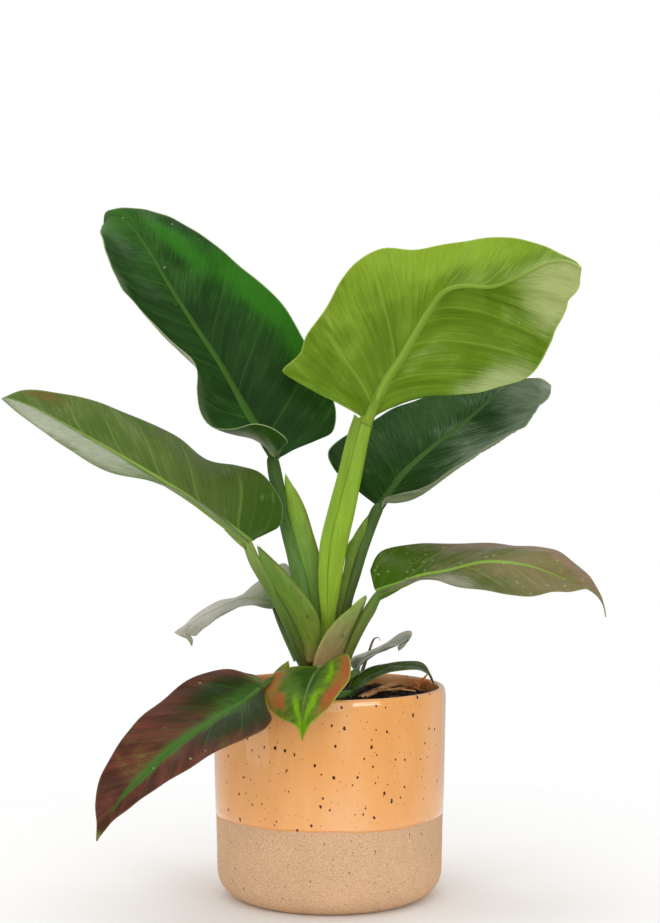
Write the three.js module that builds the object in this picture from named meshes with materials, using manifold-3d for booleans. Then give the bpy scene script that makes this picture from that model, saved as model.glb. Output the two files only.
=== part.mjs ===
// A potted imperial green philodendron: one short stem with ten leaves on clasping petioles,
// bark soil with a dry root, an old stub and loose bark, and a two-tone stoneware pot.
// Millimetres, +Z up, the pot's foot on Z = 0 and its axis on Z. The viewer looks along +Y.
import * as THREE from "three";
import { mergeVertices } from "three/addons/utils/BufferGeometryUtils.js";
import Module from "manifold-3d";

const wasm = await Module();
wasm.setup();

// Driving dimensions
const CLEARANCE = 0.3;

const POT_HEIGHT = 124.4;
const POT_RIM_RADIUS = 70;
const POT_WAIST_RADIUS = 67.6;
const POT_CORNER = 16;
const POT_WALL = 4.6;
const POT_FLOOR = 8;
const POT_INNER_CORNER = 12;
const POT_SEGMENTS = 48;

const SOIL_TOP = 117.4;
const SOIL_GAP = 0.6;
const SOIL_LUMP = 1.1;
const SOIL_SEGMENTS = 36;

const STEM_X = -3;
const STEM_FOOT_Z = 72;
const STEM_TOP_Z = 141;
const STEM_RADIUS = 9;
const STEM_SEGMENTS = 20;

const BLADE_THICKNESS = 0.7;
const BLADE_ROWS = 13;
const BLADE_COLUMNS = 8;
// The slab stops this share of the way along, just before both margins meet in the tip.
const BLADE_END = 0.985;
// A margin starts this share of its length beyond the joint, so that the sinus stays open.
const SINUS_START = 0.03;
// The rows gather at both ends of the blade by this share.
const ROW_EASING = 0.45;
// The veins fan out from the joint: their feet crowd towards it by this power.
const VEIN_CROWDING = 1.6;
// The midrib's direction is taken over this share of its length to each side.
const MIDRIB_CHORD = 0.15;

const PETIOLE_SIDES = 10;
const PETIOLE_STEPS = 9;
const LITTER_SIDES = 8;
const LITTER_STEPS = 10;

const BARK_WIDTH_SHARE = 0.55;
const BARK_THICKNESS = 2.4;
const BARK_TILT = 0.18;

// Each leaf by the curves that shape it, from the joint with its petiole to its tip. The margins
// are seen with the upper side facing up and the tip pointing away. bulge is how far each half
// bows up between midrib and margin, as a share of its width. A petiole's rows run from the joint
// down to the stem as x, y, z, width and depth, and facing is the side that its flat face looks to.
const LEAVES = {
  upper_left: {
    colour: "#2c5a2b",
    petioleColour: "#5f8f45",
    joint: [-32, 18, 260],
    tip: [-149, 101, 415],
    midrib: [
      [-47, 22, 283], [-57, 26, 300], [-69, 31, 321], [-85, 38, 345], [-102, 48, 372],
      [-116, 60, 395], [-130, 75, 413], [-142, 89, 419],
    ],
    left: [
      [-29, 2, 266], [-25, -14, 271], [-33, -24, 278], [-44, -26, 281], [-57, -24, 278],
      [-69, -20, 279], [-76, -16, 287], [-79, -12, 300], [-81, -8, 318], [-99, -4, 335],
      [-117, 4, 353], [-133, 30, 374], [-143, 54, 397], [-148, 76, 407],
    ],
    right: [
      [-20, 20, 267], [-7, 24, 272], [2, 28, 277], [4, 32, 289], [1, 34, 300], [-6, 36, 315],
      [-16, 40, 335], [-31, 46, 359], [-56, 55, 382], [-87, 66, 407], [-117, 77, 421],
      [-139, 87, 423], [-147, 96, 422],
    ],
    bulge: { left: -0.13, right: 0.05 },
    facing: [0, -1, 0],
    petiole: [
      [-32, 18, 260, 6.8, 6], [-30, 17, 249, 8.5, 7], [-26, 15, 235, 14, 7.5], [-22, 12, 220, 19, 8],
      [-18, 9, 203, 22, 8], [-14, 6, 187, 23, 8], [-10, 4, 165, 20, 8], [-5, 3, 137, 15, 8],
    ],
  },
  upper_right: {
    colour: "#8fb84a",
    petioleColour: "#8dbb3c",
    joint: [23, -2, 282],
    tip: [135.4, -112, 362.5],
    midrib: [
      [33, -10, 305], [42, -18, 319], [50, -27, 333], [58, -37, 346], [65, -48, 355],
      [75, -58, 358], [91, -74, 356], [104, -86, 360], [117, -97, 366], [127, -105, 367],
    ],
    left: [
      [35, -5, 291], [46, -9, 294], [59, -16, 297], [76, -26, 298], [88, -34, 299],
      [99, -44, 302], [110, -56, 305], [117, -66, 311], [121, -76, 320], [125, -86, 331],
      [129, -95, 341], [130, -100, 346], [134, -106, 351],
    ],
    right: [
      [12, 2, 291], [-7, 8, 300], [-26, 12, 311], [-28, 11, 315], [-18, 8, 324], [-14, 5, 335],
      [-2, 0, 351], [7, -5, 367], [17, -12, 378], [32, -16, 385], [52, -16, 384], [76, -30, 387],
      [96, -50, 387], [115, -74, 381], [128, -96, 371], [133, -106, 367],
    ],
    bulge: { left: 0.05, right: 0.05 },
    facing: [0, -1, 0],
    petiole: [
      [23, -2, 282, 11, 7], [17, -2, 270, 13, 8], [14, -2, 255, 14.6, 9], [10, -2, 236, 15, 9],
      [6, -2, 220, 15, 9], [3, -1, 204, 15.6, 9], [1, 0, 189, 14.4, 9], [-2, 0, 169, 12, 9],
      [-3, 0, 142, 10, 9],
    ],
  },
  back_right: {
    colour: "#2f5a3a",
    petioleColour: "#6d9a4b",
    joint: [30, 12, 231],
    tip: [144, 84, 308],
    midrib: [
      [39, 16, 243], [47, 20, 253], [64, 30, 268], [80, 41, 280], [94, 51, 291], [111, 62, 305],
      [128, 73, 312],
    ],
    left: [
      [18, 15, 240], [6, 18, 250], [1, 21, 257], [-1, 27, 263], [1, 33, 268], [10, 48, 275],
      [29, 63, 285], [49, 71, 296], [84, 76, 306], [124, 80, 310], [136, 83, 313],
    ],
    right: [
      [34, 0, 237], [42, -12, 240], [53, -20, 242], [62, -24, 246], [73, -22, 254],
      [91, -10, 266], [111, 8, 276], [123, 26, 283], [130, 48, 291], [141, 72, 300],
    ],
    bulge: { left: 0.04, right: -0.13 },
    facing: [0, -1, 0],
    petiole: [
      [30, 12, 231, 7.4, 6.5], [25, 11, 221, 11, 7], [19, 9, 208, 15.6, 7.5], [15, 7, 195, 15.6, 8],
      [11, 6, 181, 14, 8], [7, 5, 167, 13, 8], [1, 4, 138, 11, 8],
    ],
  },
  mid_left: {
    colour: "#4f7a35",
    petioleColour: "#6f9a44",
    joint: [-47, -18, 210],
    tip: [-190, -40, 295],
    midrib: [
      [-65, -20, 224], [-81, -22, 236], [-95, -24, 245], [-114, -28, 257], [-136, -32, 270],
      [-155, -35, 281], [-171, -38, 290], [-184, -40, 295],
    ],
    left: [
      [-53, -42, 218], [-61, -62, 226], [-71, -69, 234], [-85, -70, 242], [-102, -70, 248],
      [-128, -65, 254.2], [-155, -54, 270], [-179, -42, 286],
    ],
    right: [
      [-39, -11, 217], [-31, -8, 219], [-28, -5, 227], [-30, 0, 237], [-41, 9, 251],
      [-56, 15, 256], [-75, 17, 260], [-93, 13, 273.8], [-116, 3, 285], [-141, -15, 295],
      [-161, -32, 299], [-177, -39, 300],
    ],
    bulge: { left: 0.02, right: 0.05 },
    facing: [0, -1, 0],
    petiole: [
      [-47, -18, 210, 6, 6], [-42, -17, 200, 9.5, 6.5], [-35, -15, 190, 14, 7], [-27, -12, 177, 19, 7],
      [-19, -10, 164, 21, 7], [-13, -8, 149, 18, 7], [-8, -6, 134, 14, 7],
    ],
  },
  mid_right: {
    colour: "#5d7f3f",
    petioleColour: "#8a9a5c",
    joint: [28, -12, 180],
    tip: [159, -46, 169],
    midrib: [
      [42, -19, 186], [53, -22, 191], [67, -25, 194], [89, -31, 200], [111, -37, 199],
      [127, -40, 194], [141, -42, 188], [149, -43.5, 185.5], [154.5, -44, 181.5],
      [158, -44.5, 175.5],
    ],
    left: [
      [25, -4, 190], [25, 0, 195], [32, 6, 205], [52, 9, 209], [70, 7, 209], [92, 2, 209],
      [109, -6, 209], [130, -20, 207], [140, -28, 202], [148, -33, 195.5], [154, -39, 186.5],
      [158, -43, 177],
    ],
    right: [
      [36, -36, 185.2], [47, -53, 191.4], [60, -60, 192], [70, -61, 189], [85, -61, 186],
      [109, -57, 182], [125, -55, 184], [136, -54, 184], [148, -51, 186], [153, -48, 182.5],
      [157, -45, 176],
    ],
    bulge: { left: 0.05, right: -0.01 },
    facing: [0, -1, 0],
    petiole: [
      [28, -12, 180, 6, 6], [24, -13, 173, 12, 6.5], [18, -14, 166, 19, 7], [10, -14, 156, 22, 7],
      [4, -13, 147, 22, 7], [-1, -9, 133, 17, 7],
    ],
  },
  back_left: {
    colour: "#5f7d5a",
    petioleColour: "#55803f",
    joint: [-33, 24, 173],
    tip: [-89, 80, 139],
    midrib: [
      [-44, 32, 174], [-57, 44, 172], [-70, 56, 166], [-82, 67, 159], [-91, 76, 152], [-92, 80, 145],
    ],
    left: [
      [-34, 8, 170], [-39, -2, 171], [-47, -3, 173], [-57, 0, 171], [-66, 10, 166],
      [-76, 25, 157], [-84, 45, 150], [-91, 62, 148.5], [-88.5, 74, 145.5], [-88.3, 78, 142.5],
    ],
    right: [
      [-25, 32, 178], [-24, 44, 188], [-28, 53, 194], [-37, 61, 190], [-46, 72, 181],
      [-57, 80, 171], [-71, 85, 168], [-84, 86, 161], [-95, 85, 152], [-101, 83, 148],
      [-96, 82, 145.6], [-92.5, 81, 144.4], [-91, 80.5, 142.4],
    ],
    bulge: { left: -0.03, right: 0.04 },
    facing: [0, -1, 0],
    petiole: [
      [-33, 24, 173, 5, 5], [-28, 19, 162, 6.2, 5.5], [-22, 13, 150, 7.5, 6], [-14, 6, 136, 9, 6],
      [-8, 3, 128, 9, 6],
    ],
  },
  low_left: {
    colour: "#5a4a3c",
    petioleColour: "#6f8a44",
    joint: [-37, -54, 131],
    tip: [-125, -114, 55],
    midrib: [
      [-47, -65, 124], [-60, -79, 118], [-73, -90, 110], [-86, -98, 102], [-96, -104, 93],
      [-105, -108, 85], [-114, -111, 75],
    ],
    left: [
      [-36, -72, 126], [-34, -88, 123], [-32, -98, 121], [-32, -103, 118], [-37, -106, 113],
      [-53, -117, 107], [-71, -122, 98], [-83, -124, 91], [-97, -122, 81], [-111, -119, 71],
      [-121, -115, 60],
    ],
    right: [
      [-42, -46, 135.4], [-48, -40, 136], [-58, -37, 138], [-68, -40, 137], [-81, -49, 133],
      [-93, -62, 125.2], [-106, -77, 115], [-118, -95, 100], [-124, -105, 87], [-126, -110, 75],
      [-125, -113, 64],
    ],
    bulge: { left: 0.04, right: 0.04 },
    facing: [-0.5, -0.5, 1],
    petiole: [
      [-37, -54, 131, 5, 5], [-31, -42, 132.5, 6, 5.5], [-23, -30, 132.5, 8, 6], [-12, -13, 131, 9, 6],
    ],
  },
  front: {
    colour: "#5f8038",
    petioleColour: "#7d8f4c",
    joint: [-5, -38, 139],
    tip: [-15, -92, 105],
    midrib: [[-9, -52, 136], [-12, -67, 131], [-14, -78, 125], [-15, -87, 115]],
    left: [
      [-1, -38, 142], [4, -40, 146], [8, -45, 148], [11, -55, 148], [12, -66, 143],
      [11, -76, 137], [6, -84, 131], [0, -89, 123], [-7, -92, 118], [-11, -93, 114],
    ],
    right: [
      [-12, -34, 139], [-21, -33, 139], [-28, -35, 137], [-33, -41, 135], [-37, -50, 131],
      [-37, -60, 126], [-34, -71, 120], [-26, -80, 115], [-21, -86, 114], [-17, -90, 111],
    ],
    bulge: { left: 0.04, right: 0.04 },
    facing: [0, 0, 1],
    petiole: [
      [-5, -38, 139, 5, 4.5], [-4.5, -28, 136.5, 6, 5], [-4, -18, 132, 7, 5.5], [-3, -9, 126, 8, 6],
    ],
  },
  small_back: {
    colour: "#6c8a66",
    petioleColour: "#5d7f45",
    joint: [16, 8, 131],
    tip: [44, 62, 138],
    midrib: [
      [19, 16, 136], [25, 24, 139], [33, 36, 142], [42, 49, 146], [49, 58, 149], [52, 63, 147], [47, 64, 143],
    ],
    left: [
      [14, 14, 133], [12, 24, 136], [15, 33, 138], [21, 42, 139], [28, 48, 141], [38, 54, 145],
      [46, 60, 150], [51, 64, 151], [53, 68, 148], [48, 66, 141],
    ],
    right: [
      [18, 2, 134], [21, -1, 139], [26, 4, 141], [34, 10, 145], [41, 20, 146], [49, 36, 148],
      [50, 50, 146], [44, 58, 141],
    ],
    bulge: { left: 0, right: 0 },
    facing: [0, 0, 1],
    petiole: [[16, 8, 131, 5, 4.5], [11, 7, 127, 5.6, 5], [4, 5, 123, 6, 5.5]],
  },
  small_right: {
    colour: "#3c6b30",
    petioleColour: "#5f8f3f",
    joint: [13, -4, 119],
    tip: [63, 2, 124],
    midrib: [
      [16, -4, 124], [22, -3, 129], [29, 0, 132], [38, 3, 135], [48, 6, 135], [55, 6, 134], [60, 4, 130],
    ],
    left: [
      [12, 4, 122], [13, 10, 125], [16, 14, 128], [22, 17, 132], [29, 20, 134], [38, 22, 135],
      [46, 21, 136], [54, 17, 136], [59, 12, 134], [62, 7, 129],
    ],
    right: [
      [14, -14, 120], [17, -20, 124], [21, -22, 127], [28, -20, 131], [36, -16, 134],
      [44, -11, 135], [52, -6, 134], [57, -2, 132], [61, -1, 129],
    ],
    bulge: { left: 0.05, right: 0.05 },
    facing: [0, -1, 0],
    petiole: [[13, -4, 119.5, 5, 5], [9, -5, 118.5, 6, 6], [3, -5, 117.5, 7, 7]],
  },
};

// The petioles in the order in which they clasp the stem, innermost first.
const CLASPING_ORDER = [
  "upper_right", "upper_left", "back_right", "mid_left", "mid_right",
  "back_left", "low_left", "front", "small_back", "small_right",
];

// What lies on the soil: a dry root and the stub of an old leaf, as rows of x, y, z, width, depth.
const DRY_ROOT = [
  [18, -10, 117.8, 3, 2.4], [25, 0, 118.8, 3.6, 2.8], [32, 14, 119.2, 3.2, 2.6],
  [40, 30, 119, 3.6, 2.8], [48, 30, 118.8, 2.6, 2.2],
];
const OLD_STUB = [
  [51, 30, 117.8, 4, 3], [54, 28.5, 119.4, 6, 5], [56, 28, 121.8, 3, 3], [60.5, 28, 127.5, 1, 1],
];
// A dry bract stands behind the stem, its tip bent over.
const DRY_BRACT = [
  [18, 50, 117, 4, 1.6], [21, 54, 127, 3.4, 1], [25, 58, 138, 2.4, 0.8], [29, 60, 147, 1.4, 0.8],
];
// Loose bark on the soil: x, y, turn in degrees and size.
const BARK_CHIPS = [
  [40, -20, 20, 9], [30, 42, 75, 8], [-20, 48, 130, 10], [-46, 20, 40, 9], [10, 50, 165, 8], [52, -6, 100, 7],
];

const vector = ([x, y, z]) => new THREE.Vector3(x, y, z);
const curveThrough = (points) => new THREE.CatmullRomCurve3(points.map(vector), false, "catmullrom", 0.5);

// Moves every vertex of a closed geometry to the place that the function gives for it.
function reshape(geometry, place) {
  const at = geometry.attributes.position;
  const vertex = new THREE.Vector3();
  for (let i = 0; i < at.count; i++) {
    vertex.fromBufferAttribute(at, i);
    const moved = place(vertex.clone());
    at.setXYZ(i, moved.x, moved.y, moved.z);
  }
  return geometry;
}

// The leaf's middle surface: side runs from -1 on the left margin over 0 on the midrib to 1 on the
// right margin, along runs from 0 at the joint to 1 at the tip.
function leafSurface(leaf) {
  const ends = (inner) => curveThrough([leaf.joint, ...inner, leaf.tip]);
  const midrib = ends(leaf.midrib);
  const margins = { left: ends(leaf.left), right: ends(leaf.right) };
  return (side, share) => {
    const along = THREE.MathUtils.clamp(share, 0, 1);
    const eased = along - (ROW_EASING * Math.sin(2 * Math.PI * along)) / (2 * Math.PI);
    const foot = Math.pow(eased, VEIN_CROWDING);
    const hand = side < 0 ? "left" : "right";
    const start = midrib.getPointAt(foot);
    const reach = margins[hand].getPointAt(SINUS_START + (1 - SINUS_START) * eased).sub(start);
    const ahead = midrib
      .getPointAt(Math.min(1, foot + MIDRIB_CHORD))
      .sub(midrib.getPointAt(Math.max(0, foot - MIDRIB_CHORD)))
      .normalize();
    const upward = reach.clone().cross(ahead).normalize();
    if (side < 0) upward.negate();
    const out = Math.abs(side);
    const rise = leaf.bulge[hand] * reach.length() * Math.sin(Math.PI * out);
    return start.addScaledVector(reach, out).addScaledVector(upward, rise);
  };
}

// A flat slab whose under face is split along the same diagonals as its upper one, so that it keeps
// its thickness where it is warped
function slabGeometry() {
  const slab = new THREE.BoxGeometry(2, BLADE_END, 1, BLADE_COLUMNS, BLADE_ROWS, 1);
  const corners = slab.index.array;
  const under = slab.groups[5];
  for (let i = under.start; i < under.start + under.count; i += 6) {
    const [a, b, d, , c] = corners.slice(i, i + 6);
    corners.set([a, b, c, a, c, d], i);
  }
  return slab.translate(0, BLADE_END / 2, 0);
}

// A blade is a thin slab bent over its surface.
function bladeGeometry(leaf) {
  const surface = leafSurface(leaf);
  const step = 0.02;
  return reshape(slabGeometry(), ({ x: side, y: along, z: layer }) => {
    const across = surface(Math.min(1, side + step), along).sub(surface(Math.max(-1, side - step), along));
    const ahead = surface(side, Math.min(1, along + step)).sub(surface(side, Math.max(0, along - step)));
    const upward = across.cross(ahead).normalize();
    return surface(side, along).addScaledVector(upward, layer * BLADE_THICKNESS);
  });
}

// A tapered fleshy stalk along rows of x, y, z, width and depth, with rounded oval sections.
function stalkGeometry(rows, facing, grow = 0, sides = PETIOLE_SIDES, steps = PETIOLE_STEPS) {
  const line = curveThrough(rows);
  const sections = curveThrough(rows.map(([, , , width, depth]) => [width / 2, depth / 2, 0]));
  const front = vector(facing);
  const bar = new THREE.CylinderGeometry(1, 1, 1, sides, steps);
  return reshape(bar, ({ x, y, z }) => {
    const share = 0.5 - y;
    const towardsJoint = line.getTangent(share).negate();
    const flat = front.clone().addScaledVector(towardsJoint, -front.dot(towardsJoint)).normalize();
    const across = towardsJoint.clone().cross(flat);
    const half = sections.getPoint(share);
    return line
      .getPoint(share)
      .addScaledVector(towardsJoint, 2 * grow * y)
      .addScaledVector(across, x * (half.x + grow))
      .addScaledVector(flat, z * (half.y + grow));
  });
}

// Booleans
function solidOf(geometry) {
  const bare = geometry.clone();
  bare.deleteAttribute("normal");
  bare.deleteAttribute("uv");
  const merged = mergeVertices(bare, 1e-4);
  const vertProperties = merged.attributes.position.array;
  const triVerts = new Uint32Array(merged.index.array);
  return new wasm.Manifold(new wasm.Mesh({ numProp: 3, vertProperties, triVerts }));
}

function geometryOf(solid) {
  const { vertProperties, triVerts } = solid.getMesh();
  const geometry = new THREE.BufferGeometry();
  geometry.setAttribute("position", new THREE.BufferAttribute(new Float32Array(vertProperties), 3));
  geometry.setIndex(new THREE.BufferAttribute(new Uint32Array(triVerts), 1));
  geometry.computeVertexNormals();
  return geometry;
}

// What is left of a solid beside its neighbours: the largest piece.
function clearOf(solid, neighbours) {
  const cut = neighbours.reduce((rest, neighbour) => rest.subtract(neighbour), solid);
  return cut.decompose().sort((a, b) => b.volume() - a.volume())[0];
}

// A solid of revolution about the vertical through x, from pairs of radius and height
function turnedGeometry(profile, segments, x = 0) {
  const turned = new THREE.LatheGeometry(profile.map(([r, z]) => new THREE.Vector2(r, z)), segments);
  return turned.rotateX(Math.PI / 2).translate(x, 0, 0);
}

// The pot, from the middle of its foot round the outside, over the lip and down inside
const POT_INNER_RIM = POT_RIM_RADIUS - POT_WALL;
const POT_INNER_FOOT = POT_WAIST_RADIUS - POT_WALL;

function potGeometry() {
  const lip = POT_WALL / 2;
  const profile = [[0, 0], [POT_WAIST_RADIUS - POT_CORNER, 0]];
  const arc = (x, z, radius, from, to, steps) => {
    for (let i = 0; i <= steps; i++) {
      const angle = THREE.MathUtils.degToRad(from + ((to - from) * i) / steps);
      profile.push([x + radius * Math.cos(angle), z + radius * Math.sin(angle)]);
    }
  };
  arc(POT_WAIST_RADIUS - POT_CORNER, POT_CORNER, POT_CORNER, -72, 0, 4);
  arc(POT_RIM_RADIUS - lip, POT_HEIGHT - lip, lip, 0, 180, 5);
  profile.push([POT_INNER_FOOT, POT_FLOOR + POT_INNER_CORNER]);
  arc(POT_INNER_FOOT - POT_INNER_CORNER, POT_FLOOR + POT_INNER_CORNER, POT_INNER_CORNER, -20, -90, 3);
  profile.push([0, POT_FLOOR]);
  return turnedGeometry(profile, POT_SEGMENTS);
}

// The soil fills the pot to a little under its rim, with a lumpy top
function soilGeometry() {
  const bottom = POT_FLOOR + CLEARANCE;
  const bend = POT_FLOOR + POT_INNER_CORNER;
  const lean = (POT_INNER_RIM - POT_INNER_FOOT) / (POT_HEIGHT - bend);
  const wallAt = (z) => POT_INNER_FOOT + lean * (z - bend) - SOIL_GAP;
  const profile = [
    [0, bottom], [wallAt(bend) - POT_INNER_CORNER - 2.4, bottom], [wallAt(bend) - 4, bottom + 8],
    [wallAt(bend + 10), bend + 10], [wallAt(SOIL_TOP), SOIL_TOP - 1.5],
    ...[56, 44, 32, 20, 0].map((radius) => [radius, SOIL_TOP]),
  ];
  return reshape(turnedGeometry(profile, SOIL_SEGMENTS), (point) => {
    const { x, y, z } = point;
    const lump = Math.sin(0.23 * x + 1) * Math.cos(0.19 * y) + 0.5 * Math.sin(0.41 * (x + y));
    if (z > SOIL_TOP - 0.5) point.z += SOIL_LUMP * lump;
    return point;
  });
}

// The stem stands in the soil and ends in a dome between the petioles
function stemGeometry(grow = 0) {
  const radius = STEM_RADIUS + grow;
  const outline = [
    [0, STEM_FOOT_Z - grow], [radius - 2, STEM_FOOT_Z - grow], [radius, STEM_FOOT_Z + 12],
    [radius, STEM_TOP_Z - 17], [radius - 1, STEM_TOP_Z - 10], [radius - 3, STEM_TOP_Z - 3],
    [radius - 5, STEM_TOP_Z + grow], [0, STEM_TOP_Z + grow],
  ];
  return turnedGeometry(outline, STEM_SEGMENTS, STEM_X);
}

function barkGeometry([x, y, turn, size], grow = 0) {
  const sides = [size, size * BARK_WIDTH_SHARE, BARK_THICKNESS].map((side) => side + 2 * grow);
  const chip = new THREE.BoxGeometry(...sides);
  chip.rotateX(BARK_TILT).rotateZ(THREE.MathUtils.degToRad(turn));
  return chip.translate(x, y, SOIL_TOP + BARK_THICKNESS / 2);
}

// The assembly
const plant = new THREE.Group();

function addPiece(name, geometry, color, roughness) {
  const material = new THREE.MeshStandardMaterial({ color, roughness, metalness: 0 });
  const mesh = new THREE.Mesh(geometry, material);
  mesh.name = name;
  plant.add(mesh);
}

addPiece("pot", potGeometry(), "#e6ab6f", 0.35);

const grownStem = solidOf(stemGeometry(CLEARANCE));
addPiece("stem", stemGeometry(), "#b58a6a", 0.7);

const grownPetioles = [];
for (const name of CLASPING_ORDER) {
  const { petiole, facing, petioleColour } = LEAVES[name];
  const whole = solidOf(stalkGeometry(petiole, facing));
  const clasping = clearOf(whole, [grownStem, ...grownPetioles]);
  addPiece(name + "_petiole", geometryOf(clasping), petioleColour, 0.5);
  grownPetioles.push(solidOf(stalkGeometry(petiole, facing, CLEARANCE)));
}

for (const [name, leaf] of Object.entries(LEAVES)) {
  const blade = clearOf(solidOf(bladeGeometry(leaf)), grownPetioles);
  addPiece(name + "_blade", geometryOf(blade), leaf.colour, 0.45);
}

const litter = [
  ["dry_root", DRY_ROOT, "#b98a55"],
  ["old_stub", OLD_STUB, "#9c6a3a"],
  ["dry_bract", DRY_BRACT, "#a57a45"],
];
const pressed = [grownStem, ...grownPetioles];
for (const [name, rows, colour] of litter) {
  const twig = (grow) => solidOf(stalkGeometry(rows, [0, 0, 1], grow, LITTER_SIDES, LITTER_STEPS));
  addPiece(name, geometryOf(clearOf(twig(0), pressed)), colour, 0.9);
  pressed.push(twig(CLEARANCE));
}
BARK_CHIPS.forEach((chip, i) => {
  addPiece("bark_chip_" + (i + 1), barkGeometry(chip), "#5a3d28", 0.95);
  pressed.push(solidOf(barkGeometry(chip, CLEARANCE)));
});
addPiece("soil", geometryOf(clearOf(solidOf(soilGeometry()), pressed)), "#2e2019", 1);

export default plant;
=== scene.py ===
"""A potted imperial green philodendron: ten leaves, their stalks and stem, the mix and a stoneware pot."""

import math

import bmesh
import bpy
import numpy as np
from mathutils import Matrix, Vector, noise


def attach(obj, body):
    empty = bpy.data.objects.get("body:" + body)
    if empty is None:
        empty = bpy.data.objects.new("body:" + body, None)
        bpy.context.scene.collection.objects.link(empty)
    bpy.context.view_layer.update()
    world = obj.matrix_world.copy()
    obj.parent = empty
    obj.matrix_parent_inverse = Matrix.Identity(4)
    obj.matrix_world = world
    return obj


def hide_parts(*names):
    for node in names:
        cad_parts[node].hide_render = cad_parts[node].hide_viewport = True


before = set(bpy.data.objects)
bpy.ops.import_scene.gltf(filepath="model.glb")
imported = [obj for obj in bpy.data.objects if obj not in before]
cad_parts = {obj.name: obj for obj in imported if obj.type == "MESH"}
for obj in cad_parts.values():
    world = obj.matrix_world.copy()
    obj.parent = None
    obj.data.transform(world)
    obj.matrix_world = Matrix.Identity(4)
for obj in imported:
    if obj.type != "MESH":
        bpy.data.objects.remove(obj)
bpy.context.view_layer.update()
MM = 0.001

# The pot
# A cachepot thrown in buff stoneware, fired once, then dipped upside down in a speckled orange glaze
# that stops in a slightly wavy line, so the foot stays bare and gritty. The glaze is a thin glassy
# coat that stands a little proud of the clay.
POT_HEIGHT = 124.4
POT_RIM_RADIUS = 69.9
POT_WAIST_RADIUS = 67.6
POT_WALL = 4.6
SHOULDER_HEIGHT = 6
SHOULDER_INSET = 0.7
POT_CORNER = 16
POT_INNER_CORNER = 12
POT_FLOOR = 8
POT_HOLLOW = 1.2
# Steps of the foot ring as (distance inwards, height)
FOOT_RING = [(6, POT_HOLLOW), (4, 0), (1, 0)]
POT_SEGMENTS = 168
# Points of the profile that lie on the outside, from the foot to just under the lip
OUTSIDE_POINTS = 57
WELD_DISTANCE = 0.002
GLAZE_LINE = 49.7
GLAZE_THICKNESS = 0.4
GLAZE_EDGE = 1.3
# The waver of the glaze line as (waves round the pot, height, start)
GLAZE_WAVES = [(3, 0.3, 1), (7, 0.2, 0), (17, 0.12, 2)]
GLAZE_WAVE_REACH = 6


def linear(hex_colour):
    """A colour given as sRGB hex, as the linear values that a shader takes."""
    shares = [int(hex_colour[i : i + 2], 16) / 255 for i in (1, 3, 5)]
    return [s / 12.92 if s <= 0.04045 else ((s + 0.055) / 1.055) ** 2.4 for s in shares] + [1.0]


def feed(tree, made, inputs):
    """Sets a node's inputs by name or number, or links them to a socket or a node's first output."""
    for name, value in inputs.items():
        named = [socket for socket in made.inputs if socket.enabled and socket.name == name]
        socket = named[0] if named else made.inputs[name]
        if isinstance(value, bpy.types.Node):
            value = next(output for output in value.outputs if output.enabled)
        if isinstance(value, bpy.types.NodeSocket):
            tree.links.new(value, socket)
        elif socket.type == "RGBA":
            socket.default_value = linear(value)
        else:
            socket.default_value = value


def add(tree, kind, inputs=None, ramp=None, **settings):
    """Adds a node with its properties, its colour ramp and its inputs."""
    made = tree.nodes.new(kind)
    for name, value in settings.items():
        setattr(made, name, value)
    if ramp:
        stops = made.color_ramp.elements
        while len(stops) < len(ramp):
            stops.new(0.5)
        for stop, (position, colour) in zip(stops, ramp):
            stop.position = position
            stop.color = linear(colour)
    feed(tree, made, inputs or {})
    return made


def new_material(name, **sockets):
    """A material with one Principled shader, whose sockets are set by name: (tree, shader)."""
    material = bpy.data.materials.new(name)
    material.use_nodes = True
    tree = material.node_tree
    shader = tree.nodes["Principled BSDF"]
    for socket, value in sockets.items():
        shader.inputs[socket.replace("_", " ")].default_value = value
    return material, tree, shader


def new_object(name, data):
    """A mesh, lamp or camera as an object in the scene."""
    made = bpy.data.objects.new(name, data)
    bpy.context.scene.collection.objects.link(made)
    return made


def mesh_object(name, points, faces, materials, fields=None, face_material=None):
    """A mesh in its place, from points in millimetres, with outward faces and its named fields."""
    mesh = bpy.data.meshes.new(name)
    mesh.from_pydata((np.asarray(points, float) * MM).tolist(), [], faces)
    for field, values in (fields or {}).items():
        values = np.asarray(values, float)
        kind, part = ("FLOAT", "value") if values.ndim == 1 else ("FLOAT_VECTOR", "vector")
        mesh.attributes.new(field, kind, "POINT").data.foreach_set(part, values.ravel())
    for material in materials:
        mesh.materials.append(material)
    if face_material is not None:
        mesh.polygons.foreach_set("material_index", np.asarray(face_material, int))
    shell = bmesh.new()
    shell.from_mesh(mesh)
    bmesh.ops.remove_doubles(shell, verts=shell.verts, dist=WELD_DISTANCE * MM)
    bmesh.ops.recalc_face_normals(shell, faces=shell.faces)
    shell.to_mesh(mesh)
    shell.free()
    mesh.polygons.foreach_set("use_smooth", [True] * len(mesh.polygons))
    return new_object(name, mesh)


def grid_faces(rows, columns, wrap=False, start=0):
    """Quads over a grid of points that lie row after row."""
    across = columns if wrap else columns - 1
    i, j = np.meshgrid(np.arange(rows - 1), np.arange(across), indexing="ij")
    after = (j + 1) % columns
    this_row, next_row = i * columns, (i + 1) * columns
    quads = np.stack([this_row + j, this_row + after, next_row + after, next_row + j], -1)
    return (quads.reshape(-1, 4) + start).tolist()


def arc(centre_r, centre_z, radius, first, last, steps):
    """Points of an arc in the plane of radius and height, between two angles in degrees."""
    turn = np.radians(np.linspace(first, last, steps))
    return [(centre_r + radius * math.cos(t), centre_z + radius * math.sin(t)) for t in turn]


def settle(piece, slot, *nodes):
    """The piece stays with the pot and stands for the frame's nodes, if any; the slot is not used."""
    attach(piece, "root")
    if nodes:
        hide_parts(*nodes)


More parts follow.
